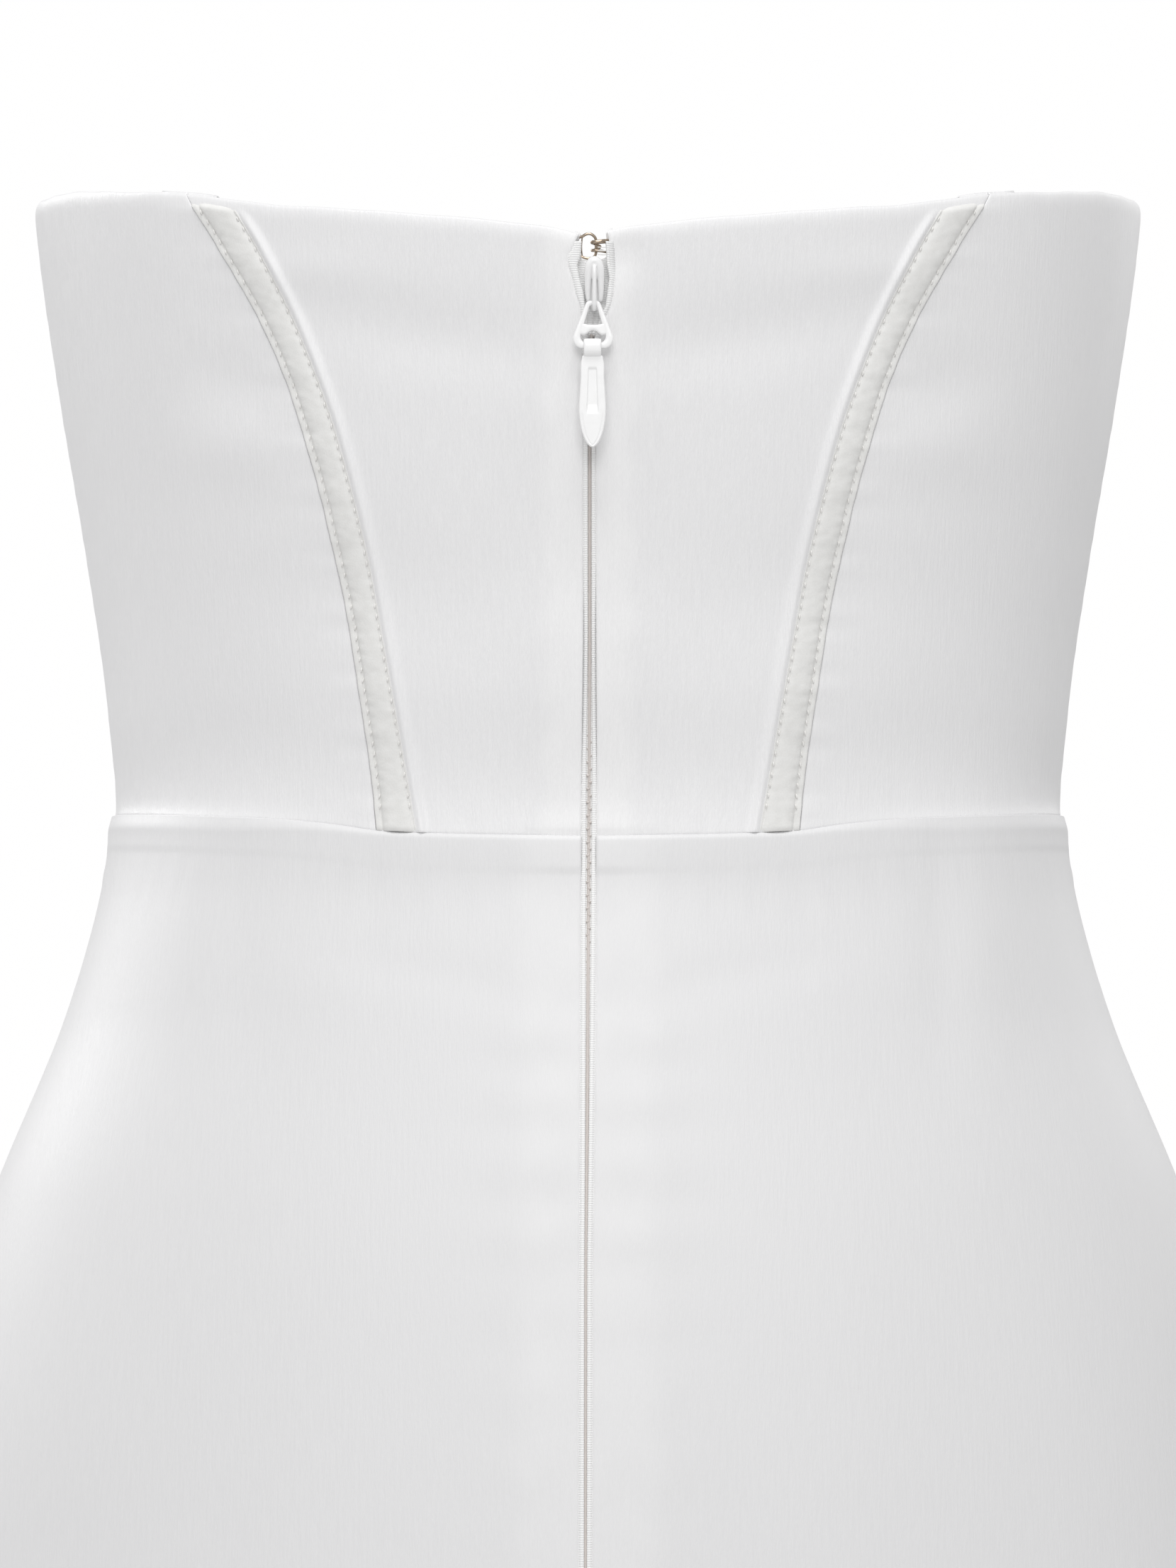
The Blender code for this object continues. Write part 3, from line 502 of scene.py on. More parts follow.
def painted_highlight_zone(tree, half_width, whiter):
    """The painted highlight beside the zip: how much whiter the cloth is painted there, on the back only,
    with a wavy, uneven border.
    """
    uv = add_node(tree, "ShaderNodeUVMap", {}, uv_map="cloth")
    turns = worked_out(tree, "MULTIPLY", part_of(tree, uv, "Y"), 2 * math.pi / HIGHLIGHT_BORDER["wave_length"])
    away = worked_out(tree, "ABSOLUTE", part_of(tree, uv, "X"))
    wave = worked_out(tree, "SINE", turns)
    border = worked_out(tree, "MULTIPLY_ADD", wave, HIGHLIGHT_BORDER["wave"] * half_width, away)
    starts, ends = HIGHLIGHT_BORDER["starts"] * half_width, HIGHLIGHT_BORDER["ends"] * half_width
    inside = add_node(
        tree, "ShaderNodeMapRange",
        {"Value": border, "From Min": starts, "From Max": ends, "To Min": whiter, "To Max": 0.0},
        interpolation_type="SMOOTHSTEP",
    )
    backwards = part_of(tree, object_place(tree), "Y")
    is_back = add_node(tree, "ShaderNodeMapRange", {"Value": backwards, "From Max": 0.02})
    patches = pattern(tree, 70.0, 60.0, 3.0)
    uneven = add_node(
        tree, "ShaderNodeMapRange",
        {"Value": patches, "From Min": 0.3, "From Max": 0.7, "To Min": 0.55, "To Max": 1.1},
    )
    return worked_out(tree, "MULTIPLY", worked_out(tree, "MULTIPLY", inside, is_back), uneven)


def satin_finish(name, bright, shaded, grain, rough, painted_highlight):
    """Duchess satin: long warp floats with slubs, a soft gloss, a slow cloudiness in its white, and a
    painted highlight, a band beside the zip mixed towards white.
    """
    finish, tree, shader = new_material(name)
    slubs = pattern(tree, 1300.0, 110.0, 3.0)
    threads = pattern(tree, 4200.0, 520.0)
    clouds = pattern(tree, 22.0, 14.0, 3.0)
    floats = contrasted(tree, weighed(tree, threads, slubs, 0.6))
    tone = tone_between(tree, weighed(tree, floats, clouds, 0.5), shaded, bright)
    # Painted highlight: the base colour is mixed towards white in a band beside the zip.
    highlighted_tone = add_node(
        tree, "ShaderNodeMix",
        {"Factor": painted_highlight_zone(tree, *painted_highlight), "A": tone, "B": (*PAINTED_HIGHLIGHT_WHITE, 1.0)}, data_type="RGBA",
    )
    bump = add_node(tree, "ShaderNodeBump", {"Height": floats, "Strength": grain, "Distance": 0.0004})
    feed(tree, shader, {
        "Base Color": highlighted_tone, "Roughness": between(tree, floats, *rough), "Normal": bump,
        "Sheen Weight": 0.12, "Sheen Roughness": 0.35, "Specular IOR Level": 0.42,
    })
    return finish


# The painted highlight beside the zip: its border's wave length in metres, its wave, and the start and end
# of its fade in shares of its half width. Each satin's last pair is the highlight's half width in metres and
# its whiteness.
HIGHLIGHT_BORDER = {"wave_length": 0.0165, "wave": 0.08, "starts": 0.7, "ends": 1.25}
PAINTED_HIGHLIGHT_WHITE = (0.97, 0.967, 0.965)
# The bodice and the skirt are one satin: the bodice's tones are painted lighter and the skirt's darker, as
# light and shade.
satin = satin_finish(
    "bodice_satin", (0.89, 0.888, 0.893), (0.84, 0.838, 0.846), 0.22, (0.29, 0.44), (0.0105, 0.45),
)

CHANNEL_RIM = {"beyond": 0.75, "spread": 0.85, "height": 0.95, "below_edge": 2.0, "fade": 4.0}
RIM_COLUMNS = (-3.0, -1.9, -1.3, -0.9, -0.5, -0.15, 0.2, 0.5, 0.85, 1.2, 1.5, 1.9, 2.3, 2.8, 3.6, 5.0)
CORNER_FALL = {"depth": 0.9, "across": 8.0, "half_width": 3.0, "height": 130.5, "half_height": 4.5}


def centre_back_relief(turn, height):
    """The back's relief, and the satin roll along the boning channel: a bell curve across its line."""
    beyond = across_at(turn, height) - back_seam("channel_inner")(height)
    roll = bell(beyond - CHANNEL_RIM["beyond"], CHANNEL_RIM["spread"])
    below_edge = np.clip((top_edge(turn) - CHANNEL_RIM["below_edge"] - height) / CHANNEL_RIM["fade"], 0, 1)
    return back_relief(turn, height) + CHANNEL_RIM["height"] * roll * below_edge


def corner_relief(turn, height):
    """The soft fall of the right corner at the hook: a bell curve across it and up."""
    fall = bell(across_at(turn, height) - CORNER_FALL["across"], CORNER_FALL["half_width"])
    fall = fall * bell(height - CORNER_FALL["height"], CORNER_FALL["half_height"])
    return centre_back_relief(turn, height) - CORNER_FALL["depth"] * fall


def beside(line, height, distances):
    """Columns beside a line: its turn, moved round the body by each distance."""
    return stepped(line[:, None], height[:, None], np.array(distances)[None])


BACK_ROWS = rows_between(WAIST_FOLD, TOP_FOLD, 0.05, 0.94, 125)
for side, is_left in SIDES:
    row, lift, _ = BACK_ROWS
    zip_line = seam_turn(lambda height: zip_edge(height, is_left), bodice_height, row, lift)
    channel_line = seam_turn(back_seam("channel_inner"), bodice_height, row, lift)
    seam_line = seam_turn(back_seam("seam"), bodice_height, row, lift)
    height = bodice_height(seam_line, row) + lift
    lines = [
        beside(zip_line, height, ZIP_FOLD["across"]),
        beside(channel_line, height, RIM_COLUMNS),
        beside(seam_line, height, SEAM_FOLD_LAST["across"]),
    ]
    outs = (ZIP_FOLD["out"], np.zeros(len(RIM_COLUMNS)), SEAM_FOLD_LAST["out"])
    relief = centre_back_relief if is_left else corner_relief
    points = cut_piece(body_point, bodice_height, BACK_ROWS, lines, outs, (even(38), even(4)), relief)
    panel = add_cloth(f"centre_back_{side}", points if is_left else mirrored(points), satin, SATIN_THICKNESS)
    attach(panel, "gown")
    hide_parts(f"bodice_centre_back_{side}")


# Side backs
# The panels from the princess seam round to the side seam, of the same satin. Their long curved edge is
# eased on to the centre back, which leaves a thin dark line with small puckers beside it.
SIDE_ROWS = rows_between(WAIST_FOLD, TOP_FOLD, 0.05, 0.94, 85)
SIDE_OUTS = (SEAM_FOLD["out"], SEAM_FOLD_LAST["out"])
side_line = np.full_like(SIDE_ROWS[0], SIDE_SEAM["turn"])
side_height = bodice_height(side_line, SIDE_ROWS[0]) + SIDE_ROWS[1]
for side, is_left in SIDES:
    row, lift, _ = SIDE_ROWS
    seam_line = seam_turn(back_seam("seam"), bodice_height, row, lift)
    lines = [
        beside(seam_line, bodice_height(seam_line, row) + lift, SEAM_FOLD["across"]),
        beside(side_line, side_height, SEAM_FOLD_LAST["across"]),
    ]
    points = cut_piece(body_point, bodice_height, SIDE_ROWS, lines, SIDE_OUTS, (even(46),), back_relief)
    panel = add_cloth(f"side_back_{side}", points if is_left else mirrored(points), satin, SATIN_THICKNESS)
    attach(panel, "gown")
    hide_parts(f"bodice_side_back_{side}")


# Front panels
# Two side fronts and the centre front, of the same satin, which the photograph hides. The princess seams run
# over the bust and give each cup its fullness, and soft folds gather under it.
CUP = {"across": 62, "height": 148, "depth": 20, "spread_across": 42, "spread_up": 38}
FRONT_SEAM = {
    "height": (0, 60, 110, 150, 190),
    "seam": (46, 50, 58, 68, 76),
}
FRONT_PUCKER = {"reach": 4.0, "depth": 0.22, "dip": 0.6, "dip_spread": 2.2}
FRONT_CREASES = {
    "across": (-18, 22, 4, -58, 63, -72, 70, 0, -30, 34),
    "height": (104, 99, 78, 92, 88, 66, 61, 40, 22, 18),
    "slope": (-0.25, 0.3, 0.05, -0.4, 0.35, -0.2, 0.25, 0.0, -0.1, 0.12),
    "spread_across": (22, 20, 26, 18, 19, 22, 20, 30, 24, 22),
    "spread_up": (5.5, 5.0, 7.0, 6.0, 6.5, 7.5, 7.0, 9.0, 8.0, 8.5),
    "depth": (-0.8, -0.7, 0.5, -0.8, -0.7, 0.5, 0.55, -0.5, -0.7, -0.6),
}


def bust_point(turn, height):
    """The body's point, moved forward by the cups' fullness: a bell curve on either side of the middle."""
    point = body_point(turn, height)
    cup = bell(np.abs(point[..., 0]) - CUP["across"], CUP["spread_across"])
    cup = cup * bell(point[..., 2] - CUP["height"], CUP["spread_up"])
    point[..., 1] -= CUP["depth"] * cup * facing(turn, -1)
    return point


def front_seam(height):
    """The front princess seam's distance from the middle."""
    return smooth(height, FRONT_SEAM["height"], FRONT_SEAM["seam"])


def front_relief(turn, height):
    """The front's creases, and the puckers of its seams."""
    across = body_point(turn, height)[..., 0]
    from_seam = np.abs(across) - front_seam(height)
    seam = pucker(from_seam, height, FRONT_PUCKER["reach"], FRONT_PUCKER["depth"])
    seam = seam - FRONT_PUCKER["dip"] * bell(from_seam, FRONT_PUCKER["dip_spread"])
    creases = soft_creases(FRONT_CREASES, across, height)
    return facing(turn, -1) * (creases + seam) + side_and_waist_pucker(turn, height)


row, lift, _ = SIDE_ROWS
front_line = seam_turn(front_seam, bodice_height, row, lift, is_front=True)
front_height = bodice_height(front_line, row) + lift
for side, is_left in SIDES:
    lines = [
        beside(side_line, side_height, SEAM_FOLD["across"]),
        beside(front_line, front_height, SEAM_FOLD_LAST["across"]),
    ]
    hand = 1 if is_left else -1
    points = cut_piece(
        bust_point, bodice_height, SIDE_ROWS, lines, SIDE_OUTS, (even(50),),
        lambda turn, height: front_relief(hand * turn, height),
    )
    panel = add_cloth(f"side_front_{side}", points if is_left else mirrored(points), satin, SATIN_THICKNESS)
    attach(panel, "gown")
    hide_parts(f"bodice_side_front_{side}")

lines = [
    beside(front_line, front_height, SEAM_FOLD["across"]),
    beside(360 - front_line, front_height, SEAM_FOLD_LAST["across"]),
]
points = cut_piece(bust_point, bodice_height, SIDE_ROWS, lines, SIDE_OUTS, (even(84),), front_relief)
panel = add_cloth("centre_front", points, satin, SATIN_THICKNESS)
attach(panel, "gown")
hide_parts("bodice_centre_front")


# Skirt
# Two backs that meet at the zip and one front, of the same satin with a smoother face, whose tones are
# painted darker than the bodice's as shade. The waist seam is pressed down, so its allowance shows as a low
# step 10 mm under it, and the zip draws the cloth beside it into short ripples. Lower down it falls in soft
# uneven flutes to a hem turned up 20 mm.
FLUTES = {
    "turn": (-161, -133, -108, -71, -44, -19, 17, 47, 74, 109, 137, 165),
    "spread": (8.5, 8, 9, 9, 8, 8.5, 8, 9, 8.5, 9, 8, 8.5),
    "swell": (14, 24, 19, 25, 17, 15, 18, 15, 26, 22, 25, 12),
    "start": (-430, -380, -330, -360, -400, -440, -420, -380, -330, -350, -400, -470),
}
FLUTE_GROWTH = 1.5
HEM_DROP = 1060.0
WAIST_CURVE_FADE = 80
SKIRT_CREASES = {
    "across": (28, 15, 15, 15, 14, 14, 13, 13, 12, 10, 10, 10, 10, 12, 83, 94, 52, 66),
    "height": (
        -41, -61, -75.5, -92, -108, -125, -143, -160, -176, -53, -68, -83.5, -100, -31, -28, -32, -72, -110,
    ),
    "slope": (0.2, 0.06, 0.04, 0, 0, 0, -0.03, 0, 0, 0.05, 0, 0, 0, 0.1, 0, 0, 0.12, -0.2),
    "spread_across": (22, 9, 9.5, 10, 9, 9, 8, 8, 7, 6.5, 7, 7, 7, 14, 3.6, 6, 24, 22),
    "spread_up": (4.2, 3.6, 3.6, 3.8, 4, 4, 4.5, 4.5, 5, 3.2, 3.2, 3.4, 3.6, 5, 20, 24, 14, 18),
    "depth": (
        -0.4, -0.3, -0.28, -0.27, -0.2, -0.18, -0.15, -0.1, -0.1, 0.2, 0.2, 0.19, 0.15, 0.2, -0.7, 0.6,
        -0.3, 0.3,
    ),
}
TOWARDS_SIDE = {"from": 50, "over": 35}
SKIRT_ROLL = {"start": 0.2, "rise": 1.3, "height": 0.9, "fade": 6.5}
MORE_AT_SIDE = {"rise": 2.5, "height": 0.5, "fade": 6}
SIDE_SWELL = {"height": 1.5, "drop": 26, "spread": 12}
ALLOWANCE_STEP = {
    "height": 0.05, "more_at_zip": 0.3, "half_width": 9, "more_at_side": 0.1, "from": 7.2, "to": 9.8,
}
SKIRT_SIDE = {"mm_to_a_degree": 2.2, "reach": 6.0, "pucker": 0.25, "dip": 0.5, "dip_spread": 2.4}
SKIRT_PUCKER = {"drop": 14, "reach": 6.0, "depth": 0.12}
SKIRT_TOP_FOLD = {
    "lift": (-0.24, -0.12, -0.02, 0.04, 0.05, 0.0, -0.3, -1.4, -4.0, -8.0),
    "out": (0.0, 0.0, -0.05, -0.2, -0.7, -1.1, -1.4, -1.55, -1.6, -1.6),
}
HEM_FOLD = {
    "lift": (20.0, 10.0, 3.0, 0.9, 0.25, 0.0, 0.12, 0.5, 1.2, 2.5),
    "out": (-1.6, -1.6, -1.6, -1.5, -1.2, -0.8, -0.4, -0.12, -0.02, 0.0),
}


def flared_point(turn, height):
    """The body's point, moved straight out by the flutes: bell curves round the hem that grow downwards."""
    point = body_point(turn, height)
    turn, height = np.broadcast_arrays(turn, height)
    swell = np.zeros_like(point[..., 0])
    for middle, spread, top, start in zip(*FLUTES.values()):
        away = (turn - middle + 180) % 360 - 180
        growth = np.clip((start - height) / (start + HEM_DROP), 0, 1) ** FLUTE_GROWTH
        swell += top * growth * bell(away, spread)
    point[..., :2] *= (1 + swell / np.hypot(point[..., 0], point[..., 1]))[..., None]
    return point


def skirt_height(turn, drop):
    """A skirt row's height: its drop below the waist seam, whose curve fades out in the first 80 mm."""
    return waist_seam(turn) * np.clip(1 - drop / WAIST_CURVE_FADE, 0, 1) - drop


def skirt_relief(turn, height):
    """The rolls under the waist seam, the step of its allowance, the ripples by the zip, and the puckers."""
    across = across_at(turn, height)
    drop = waist_seam(turn) - height
    to_side = np.clip((across - TOWARDS_SIDE["from"]) / TOWARDS_SIDE["over"], 0, 1)
    width = SKIRT_ROLL["rise"] + MORE_AT_SIDE["rise"] * to_side
    start = SKIRT_ROLL["start"]
    rising = np.sin(0.5 * math.pi * np.clip((drop + start) / (width + start), 0, 1))
    falling = bell(np.maximum(drop - width, 0), SKIRT_ROLL["fade"] + MORE_AT_SIDE["fade"] * to_side)
    roll = (SKIRT_ROLL["height"] + MORE_AT_SIDE["height"] * to_side) * rising * falling
    roll = roll + SIDE_SWELL["height"] * to_side * bell(drop - SIDE_SWELL["drop"], SIDE_SWELL["spread"])
    roll = roll + side_roll(across, drop)
    fall = np.clip((drop - ALLOWANCE_STEP["from"]) / (ALLOWANCE_STEP["to"] - ALLOWANCE_STEP["from"]), 0, 1)
    at_zip = ALLOWANCE_STEP["more_at_zip"] * bell(across, ALLOWANCE_STEP["half_width"])
    step = ALLOWANCE_STEP["height"] + at_zip + ALLOWANCE_STEP["more_at_side"] * to_side
    step = step * (1 - fall**2 * (3 - 2 * fall))
    from_side = SKIRT_SIDE["mm_to_a_degree"] * (from_back(turn) - SIDE_SEAM["turn"])
    seams = pucker(from_side, height, SKIRT_SIDE["reach"], SKIRT_SIDE["pucker"])
    seams = seams - SKIRT_SIDE["dip"] * bell(from_side, SKIRT_SIDE["dip_spread"])
    below_waist, round_body = drop - SKIRT_PUCKER["drop"], SIDE_SEAM["mm_to_a_degree"] * from_back(turn)
    seams = seams + pucker(below_waist, round_body, SKIRT_PUCKER["reach"], SKIRT_PUCKER["depth"])
    return facing(turn, 1) * soft_creases(SKIRT_CREASES, across, height) + roll + step + seams


# The skirt's copy of the satin, its tones painted darker than the bodice's as shade.
skirt_satin_painted_shade = satin_finish(
    "skirt_satin_painted_shade", (0.80, 0.798, 0.803), (0.76, 0.758, 0.765), 0.14, (0.40, 0.52), (0.016, 0.18),
)
flat_drops = np.concatenate([
    np.arange(1052, 195, -8), np.arange(190, 14, -1.7), np.arange(13.8, 0.5, -0.45),
])
hem_drops = np.full(len(HEM_FOLD["lift"]), HEM_DROP)
SKIRT_ROWS = (
    np.concatenate([hem_drops, flat_drops, np.zeros(len(SKIRT_TOP_FOLD["lift"]))]),
    np.concatenate([HEM_FOLD["lift"], np.zeros(len(flat_drops)), SKIRT_TOP_FOLD["lift"]]),
    np.concatenate([HEM_FOLD["out"], np.zeros(len(flat_drops)), SKIRT_TOP_FOLD["out"]]),
)
row, lift, _ = SKIRT_ROWS
side_line = np.full_like(row, SIDE_SEAM["turn"])
side_height = skirt_height(side_line, row) + lift
for side, is_left in SIDES:
    zip_line = seam_turn(lambda height: zip_edge(height, is_left), skirt_height, row, lift)
    lines = [
        beside(zip_line, skirt_height(zip_line, row) + lift, ZIP_FOLD["across"]),
        beside(side_line, side_height, SEAM_FOLD_LAST["across"]),
    ]
    outs = (ZIP_FOLD["out"], SEAM_FOLD_LAST["out"])
    hand = 1 if is_left else -1
    points = cut_piece(
        lambda turn, height: flared_point(hand * turn, height) * np.array([hand, 1, 1]),
        skirt_height, SKIRT_ROWS, lines, outs, (even(72) ** 1.2,), skirt_relief,
    )
    points = points if is_left else mirrored(points)
    panel = add_cloth(f"skirt_back_panel_{side}", points, skirt_satin_painted_shade, SATIN_THICKNESS)
    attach(panel, "gown")
    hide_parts(f"skirt_back_{side}")

lines = [
    beside(side_line, side_height, SEAM_FOLD["across"]),
    beside(360 - side_line, side_height, SEAM_FOLD_LAST["across"]),
]
points = cut_piece(flared_point, skirt_height, SKIRT_ROWS, lines, SIDE_OUTS, (even(130),), skirt_relief)
panel = add_cloth("skirt_front_panel", points, skirt_satin_painted_shade, SATIN_THICKNESS)
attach(panel, "gown")
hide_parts("skirt_front")


# Boning channels
# Two strips of matte cotton twill, stitched over a flat bone along both edges, on the centre backs beside
# the seam. The thread draws each edge down into a groove and puckers the inner side of the outer one.
CHANNEL = {"seam_gap": 0.12, "inner_edge": 1.7, "inner_stitch": 0.75, "outer_stitch": 1.5, "pitch": 2.5}
CHANNEL_INNER_COLUMNS = (0, 0.05, 0.14, 0.3, 0.5, 0.63, 0.75, 0.87, 1.0, 1.2, 1.5, 1.9)
CHANNEL_OUTER_COLUMNS = (
    -4.2, -3.7, -3.3, -2.9, -2.5, -2.2, -1.9, -1.7, -1.55, -1.4, -1.2, -0.9, -0.5, -0.25, -0.08, 0,
)
STRIP_EDGE = {"height": 0.5, "inner": 0.1, "outer": 0.06}
STRIP_DOME = {"height": 0.7, "inner_start": 0.9, "inner": 1.0, "outer_start": 1.7, "outer": 0.9}
STITCH_GROOVE = {"inner": 0.22, "outer": 0.26}
STITCH_DIPS = {"edge": ("outer", "inner"), "depth": (0.16, 0.06), "place": (2.3, 1.3), "spread": (0.6, 0.45)}
STITCH_DIP_LENGTH = 0.55
TWILL_SLACK = {"depth": (0.03, 0.02), "pace": (0.83, 1.9), "slant": (1.0, -1.4), "swell_pace": 0.17}
CHANNEL_FOOT = {
    "lift": (0.02, 0.2, 0.5, 0.85, 1.2),
    "out": (-0.5, -0.28, -0.14, -0.04, 0.0),
}
CHANNEL_TOP = {
    "lift": (-3.6, -3.0, -2.6, -2.2, -1.8, -1.4),
    "out": (0.0, 0.0, -0.25, -0.75, -1.4, -1.9),
}


def rise(distance, width):
    """A soft step: 0 before its start, then 1 less e to minus the distance over the width."""
    return 1 - np.exp(-np.maximum(distance, 0) / width)


def channel_inner_edge(height):
    """The twill's inner edge, beyond the satin roll."""
    return back_seam("channel_inner")(height) + CHANNEL["inner_edge"]


def channel_outer_edge(height):
    """The twill's outer edge, beside the seam."""
    return back_seam("seam")(height) - CHANNEL["seam_gap"]


def channel_relief(turn, height):
    """The strip's edges and dome as soft steps, its stitch grooves, a dip beside each stitch, and slack."""
    across = across_at(turn, height)
    inner, outer = across - channel_inner_edge(height), channel_outer_edge(height) - across
    strip = STRIP_EDGE["height"] * rise(inner, STRIP_EDGE["inner"]) * rise(outer, STRIP_EDGE["outer"])
    dome = rise(inner - STRIP_DOME["inner_start"], STRIP_DOME["inner"])
    dome = dome * rise(outer - STRIP_DOME["outer_start"], STRIP_DOME["outer"])
    strip = strip + STRIP_DOME["height"] * dome
    for edge, distance in (("inner", inner), ("outer", outer)):
        groove = STITCH_GROOVE[edge]
        strip = strip - groove * bell(distance - CHANNEL[f"{edge}_stitch"], groove)
    from_stitch = (np.abs((height / CHANNEL["pitch"]) % 1 - 0.5) - 0.5) * CHANNEL["pitch"]
    for edge, depth, place, spread in zip(*STITCH_DIPS.values()):
        distance = inner if edge == "inner" else outer
        strip = strip - depth * bell(distance - place, spread) * bell(from_stitch, STITCH_DIP_LENGTH)
    slow, quick = [
        depth * np.sin(height * pace + slant * inner)
        for depth, pace, slant in zip(TWILL_SLACK["depth"], TWILL_SLACK["pace"], TWILL_SLACK["slant"])
    ]
    slack = slow + quick * np.sin(height * TWILL_SLACK["swell_pace"])
    return back_relief(turn, height) + strip + slack


def twill_finish(name):
    """Matte twill: blotches, bars and a fine weave mixed to a warm grey white."""
    finish, tree, shader = new_material(name)
    blotches = pattern(tree, 420.0, 380.0, 4.0)
    weave = pattern(tree, 2600.0, 1900.0, 2.0)
    bars = pattern(tree, 90.0, 520.0, 3.0)
    mottle = weighed(tree, weighed(tree, blotches, bars, 0.45), weave, 0.2)
    tone = tone_between(tree, contrasted(tree, mottle), (0.775, 0.772, 0.755), (0.845, 0.842, 0.828))
    threads = weighed(tree, mottle, weave, 0.5)
    bump = add_node(tree, "ShaderNodeBump", {"Height": threads, "Strength": 0.28, "Distance": 0.0003})
    feed(tree, shader, {"Base Color": tone, "Normal": bump, "Roughness": 0.92, "Specular IOR Level": 0.2})
    return finish


def thread_finish(name, colour, roughness):
    """Spun thread or nylon: a plain colour with a fine mottle from its place."""
    finish, tree, shader = new_material(name)
    mottle = noise_at(tree, object_place(tree), 2500.0, 2.0)
    tone = tone_between(tree, mottle, tuple(0.86 * part for part in colour), colour)
    feed(tree, shader, {"Base Color": tone, "Roughness": roughness})
    return finish


def tube(route, radius, sides=8, facing_to=(0.0, 1.0, 0.0)):
    """Rings round a route, or round many at once: each is square to its route and has its own radius."""
    along = np.gradient(route, axis=-2)
    along /= np.linalg.norm(along, axis=-1, keepdims=True)
    across = np.cross(along, np.array(facing_to))
    across /= np.linalg.norm(across, axis=-1, keepdims=True)
    up = np.cross(across, along)
    angle = np.linspace(0, 2 * math.pi, sides, endpoint=False)[:, None]
    spoke = np.cos(angle) * across[..., None, :] + np.sin(angle) * up[..., None, :]
    return route[..., None, :] + np.asarray(radius)[..., None, None] * spoke


def tube_mesh(name, points):
    """One mesh of closed tubes: quads from ring to ring, each tip's points welded, all facing out."""
    points = points.reshape(-1, *points.shape[-3:])
    count, rings, sides = points.shape[:3]
    index = np.arange(count * rings * sides).reshape(count, rings, sides)
    after = np.roll(index, -1, axis=2)
    corners = (index[:, :-1], after[:, :-1], after[:, 1:], index[:, 1:])
    faces = np.stack([corner.ravel() for corner in corners], axis=-1)
    mesh = bpy.data.meshes.new(name)
    mesh.from_pydata((points.reshape(-1, 3) * MM).tolist(), [], faces.tolist())
    shape = bmesh.new()
    shape.from_mesh(mesh)
    bmesh.ops.remove_doubles(shape, verts=shape.verts, dist=0.0005 * MM)
    bmesh.ops.recalc_face_normals(shape, faces=shape.faces)
    shape.to_mesh(mesh)
    shape.free()
    mesh.shade_smooth()
    return mesh


def stitch_row(x_of, heights, slant):
    """Stitches on a channel: each runs down the groove with a slant, and arches up between its two holes."""
    t = np.linspace(-0.5, 0.5, 5)
    height = heights[:, None] - STITCH["length"] * t
    turn = turn_at(x_of(height) + slant * t, height)
    out = channel_relief(turn, height) + STITCH["out"] + STITCH["arch"] * (1 - 4 * t**2)
    return moved_out(body_point, turn, height, out)


twill = twill_finish("channel_twill_weave")
thread = thread_finish("sewing_thread", (0.93, 0.92, 0.90), 0.6)
CHANNEL_ROWS = rows_between(CHANNEL_FOOT, CHANNEL_TOP, 0.01, 0.965, 290)
STITCH = {
    "length": 1.45, "out": 0.17, "arch": 0.18, "radius": (0.0, 0.16, 0.21, 0.16, 0.0), "below_edge": 4.0,
}
TWILL_THICKNESS = 0.35
stitch_heights = np.arange(0.5 * CHANNEL["pitch"], 150.0, CHANNEL["pitch"])
for side, is_left in SIDES:
    row, lift, _ = CHANNEL_ROWS
    inner_line = seam_turn(channel_inner_edge, bodice_height, row, lift)
    outer_line = seam_turn(channel_outer_edge, bodice_height, row, lift)
    height = bodice_height(outer_line, row) + lift
    lines = [
        beside(inner_line, height, CHANNEL_INNER_COLUMNS),
        beside(outer_line, height, CHANNEL_OUTER_COLUMNS),
    ]
    outs = (np.zeros(len(CHANNEL_INNER_COLUMNS)), np.zeros(len(CHANNEL_OUTER_COLUMNS)))
    points = cut_piece(body_point, bodice_height, CHANNEL_ROWS, lines, outs, (even(7),), channel_relief)
    strip = add_cloth(f"channel_{side}", points if is_left else mirrored(points), twill, TWILL_THICKNESS)
    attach(strip, "gown")
    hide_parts(f"boning_channel_{side}")
    rows = []
    for x_of, slant in (
        (lambda height: channel_inner_edge(height) + CHANNEL["inner_stitch"], 0.3),
        (lambda height: channel_outer_edge(height) - CHANNEL["outer_stitch"], 0.45),
    ):
        edge = top_edge(turn_at(x_of(stitch_heights), stitch_heights)) - STITCH["below_edge"]
        rows.append(stitch_row(x_of, stitch_heights[stitch_heights < edge], slant))
    hand = np.array([1 if is_left else -1, 1, 1])
    tubes = np.concatenate([tube(route * hand, STITCH["radius"]) for route in rows])
    threads = add_piece(f"channel_stitches_{side}", tube_mesh(f"channel_stitches_{side}", tubes), thread)
    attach(threads, "gown")


# Zip tapes and coil
# The two rolled edges of the zip's woven tape, ribbed across, that show between the satin's folds, and the
# nylon coil in the slit between them. Above the slider the tapes part. Below it the coil closes the slit,
# which gapes at the waist, where the coil's loops show.
TAPE_COLUMNS = {
    "middle": (1, 0.5, 0, 0, 0, 0, 0, 0, 0, 0, 0, 0, 0, 0),
    "inner": (0, 0.5, 1, 1, 1, 0.97, 0.88, 0.7, 0.45, 0.2, 0.05, 0, 0, 0),
    "outer": (0, 0, 0, 0, 0, 0.03, 0.12, 0.3, 0.55, 0.8, 0.95, 1, 1, 1),
    "beyond": (0, 0, -0.08, 0, 0.02, 0, 0, 0, 0, 0, 0, 0.06, 0.3, 1.2),
    "out": (-1.7, -1.65, -1.5, -1.1, -0.5, -0.1, 0.12, 0.24, 0.28, 0.22, 0.12, -0.02, -0.3, -0.6),
}
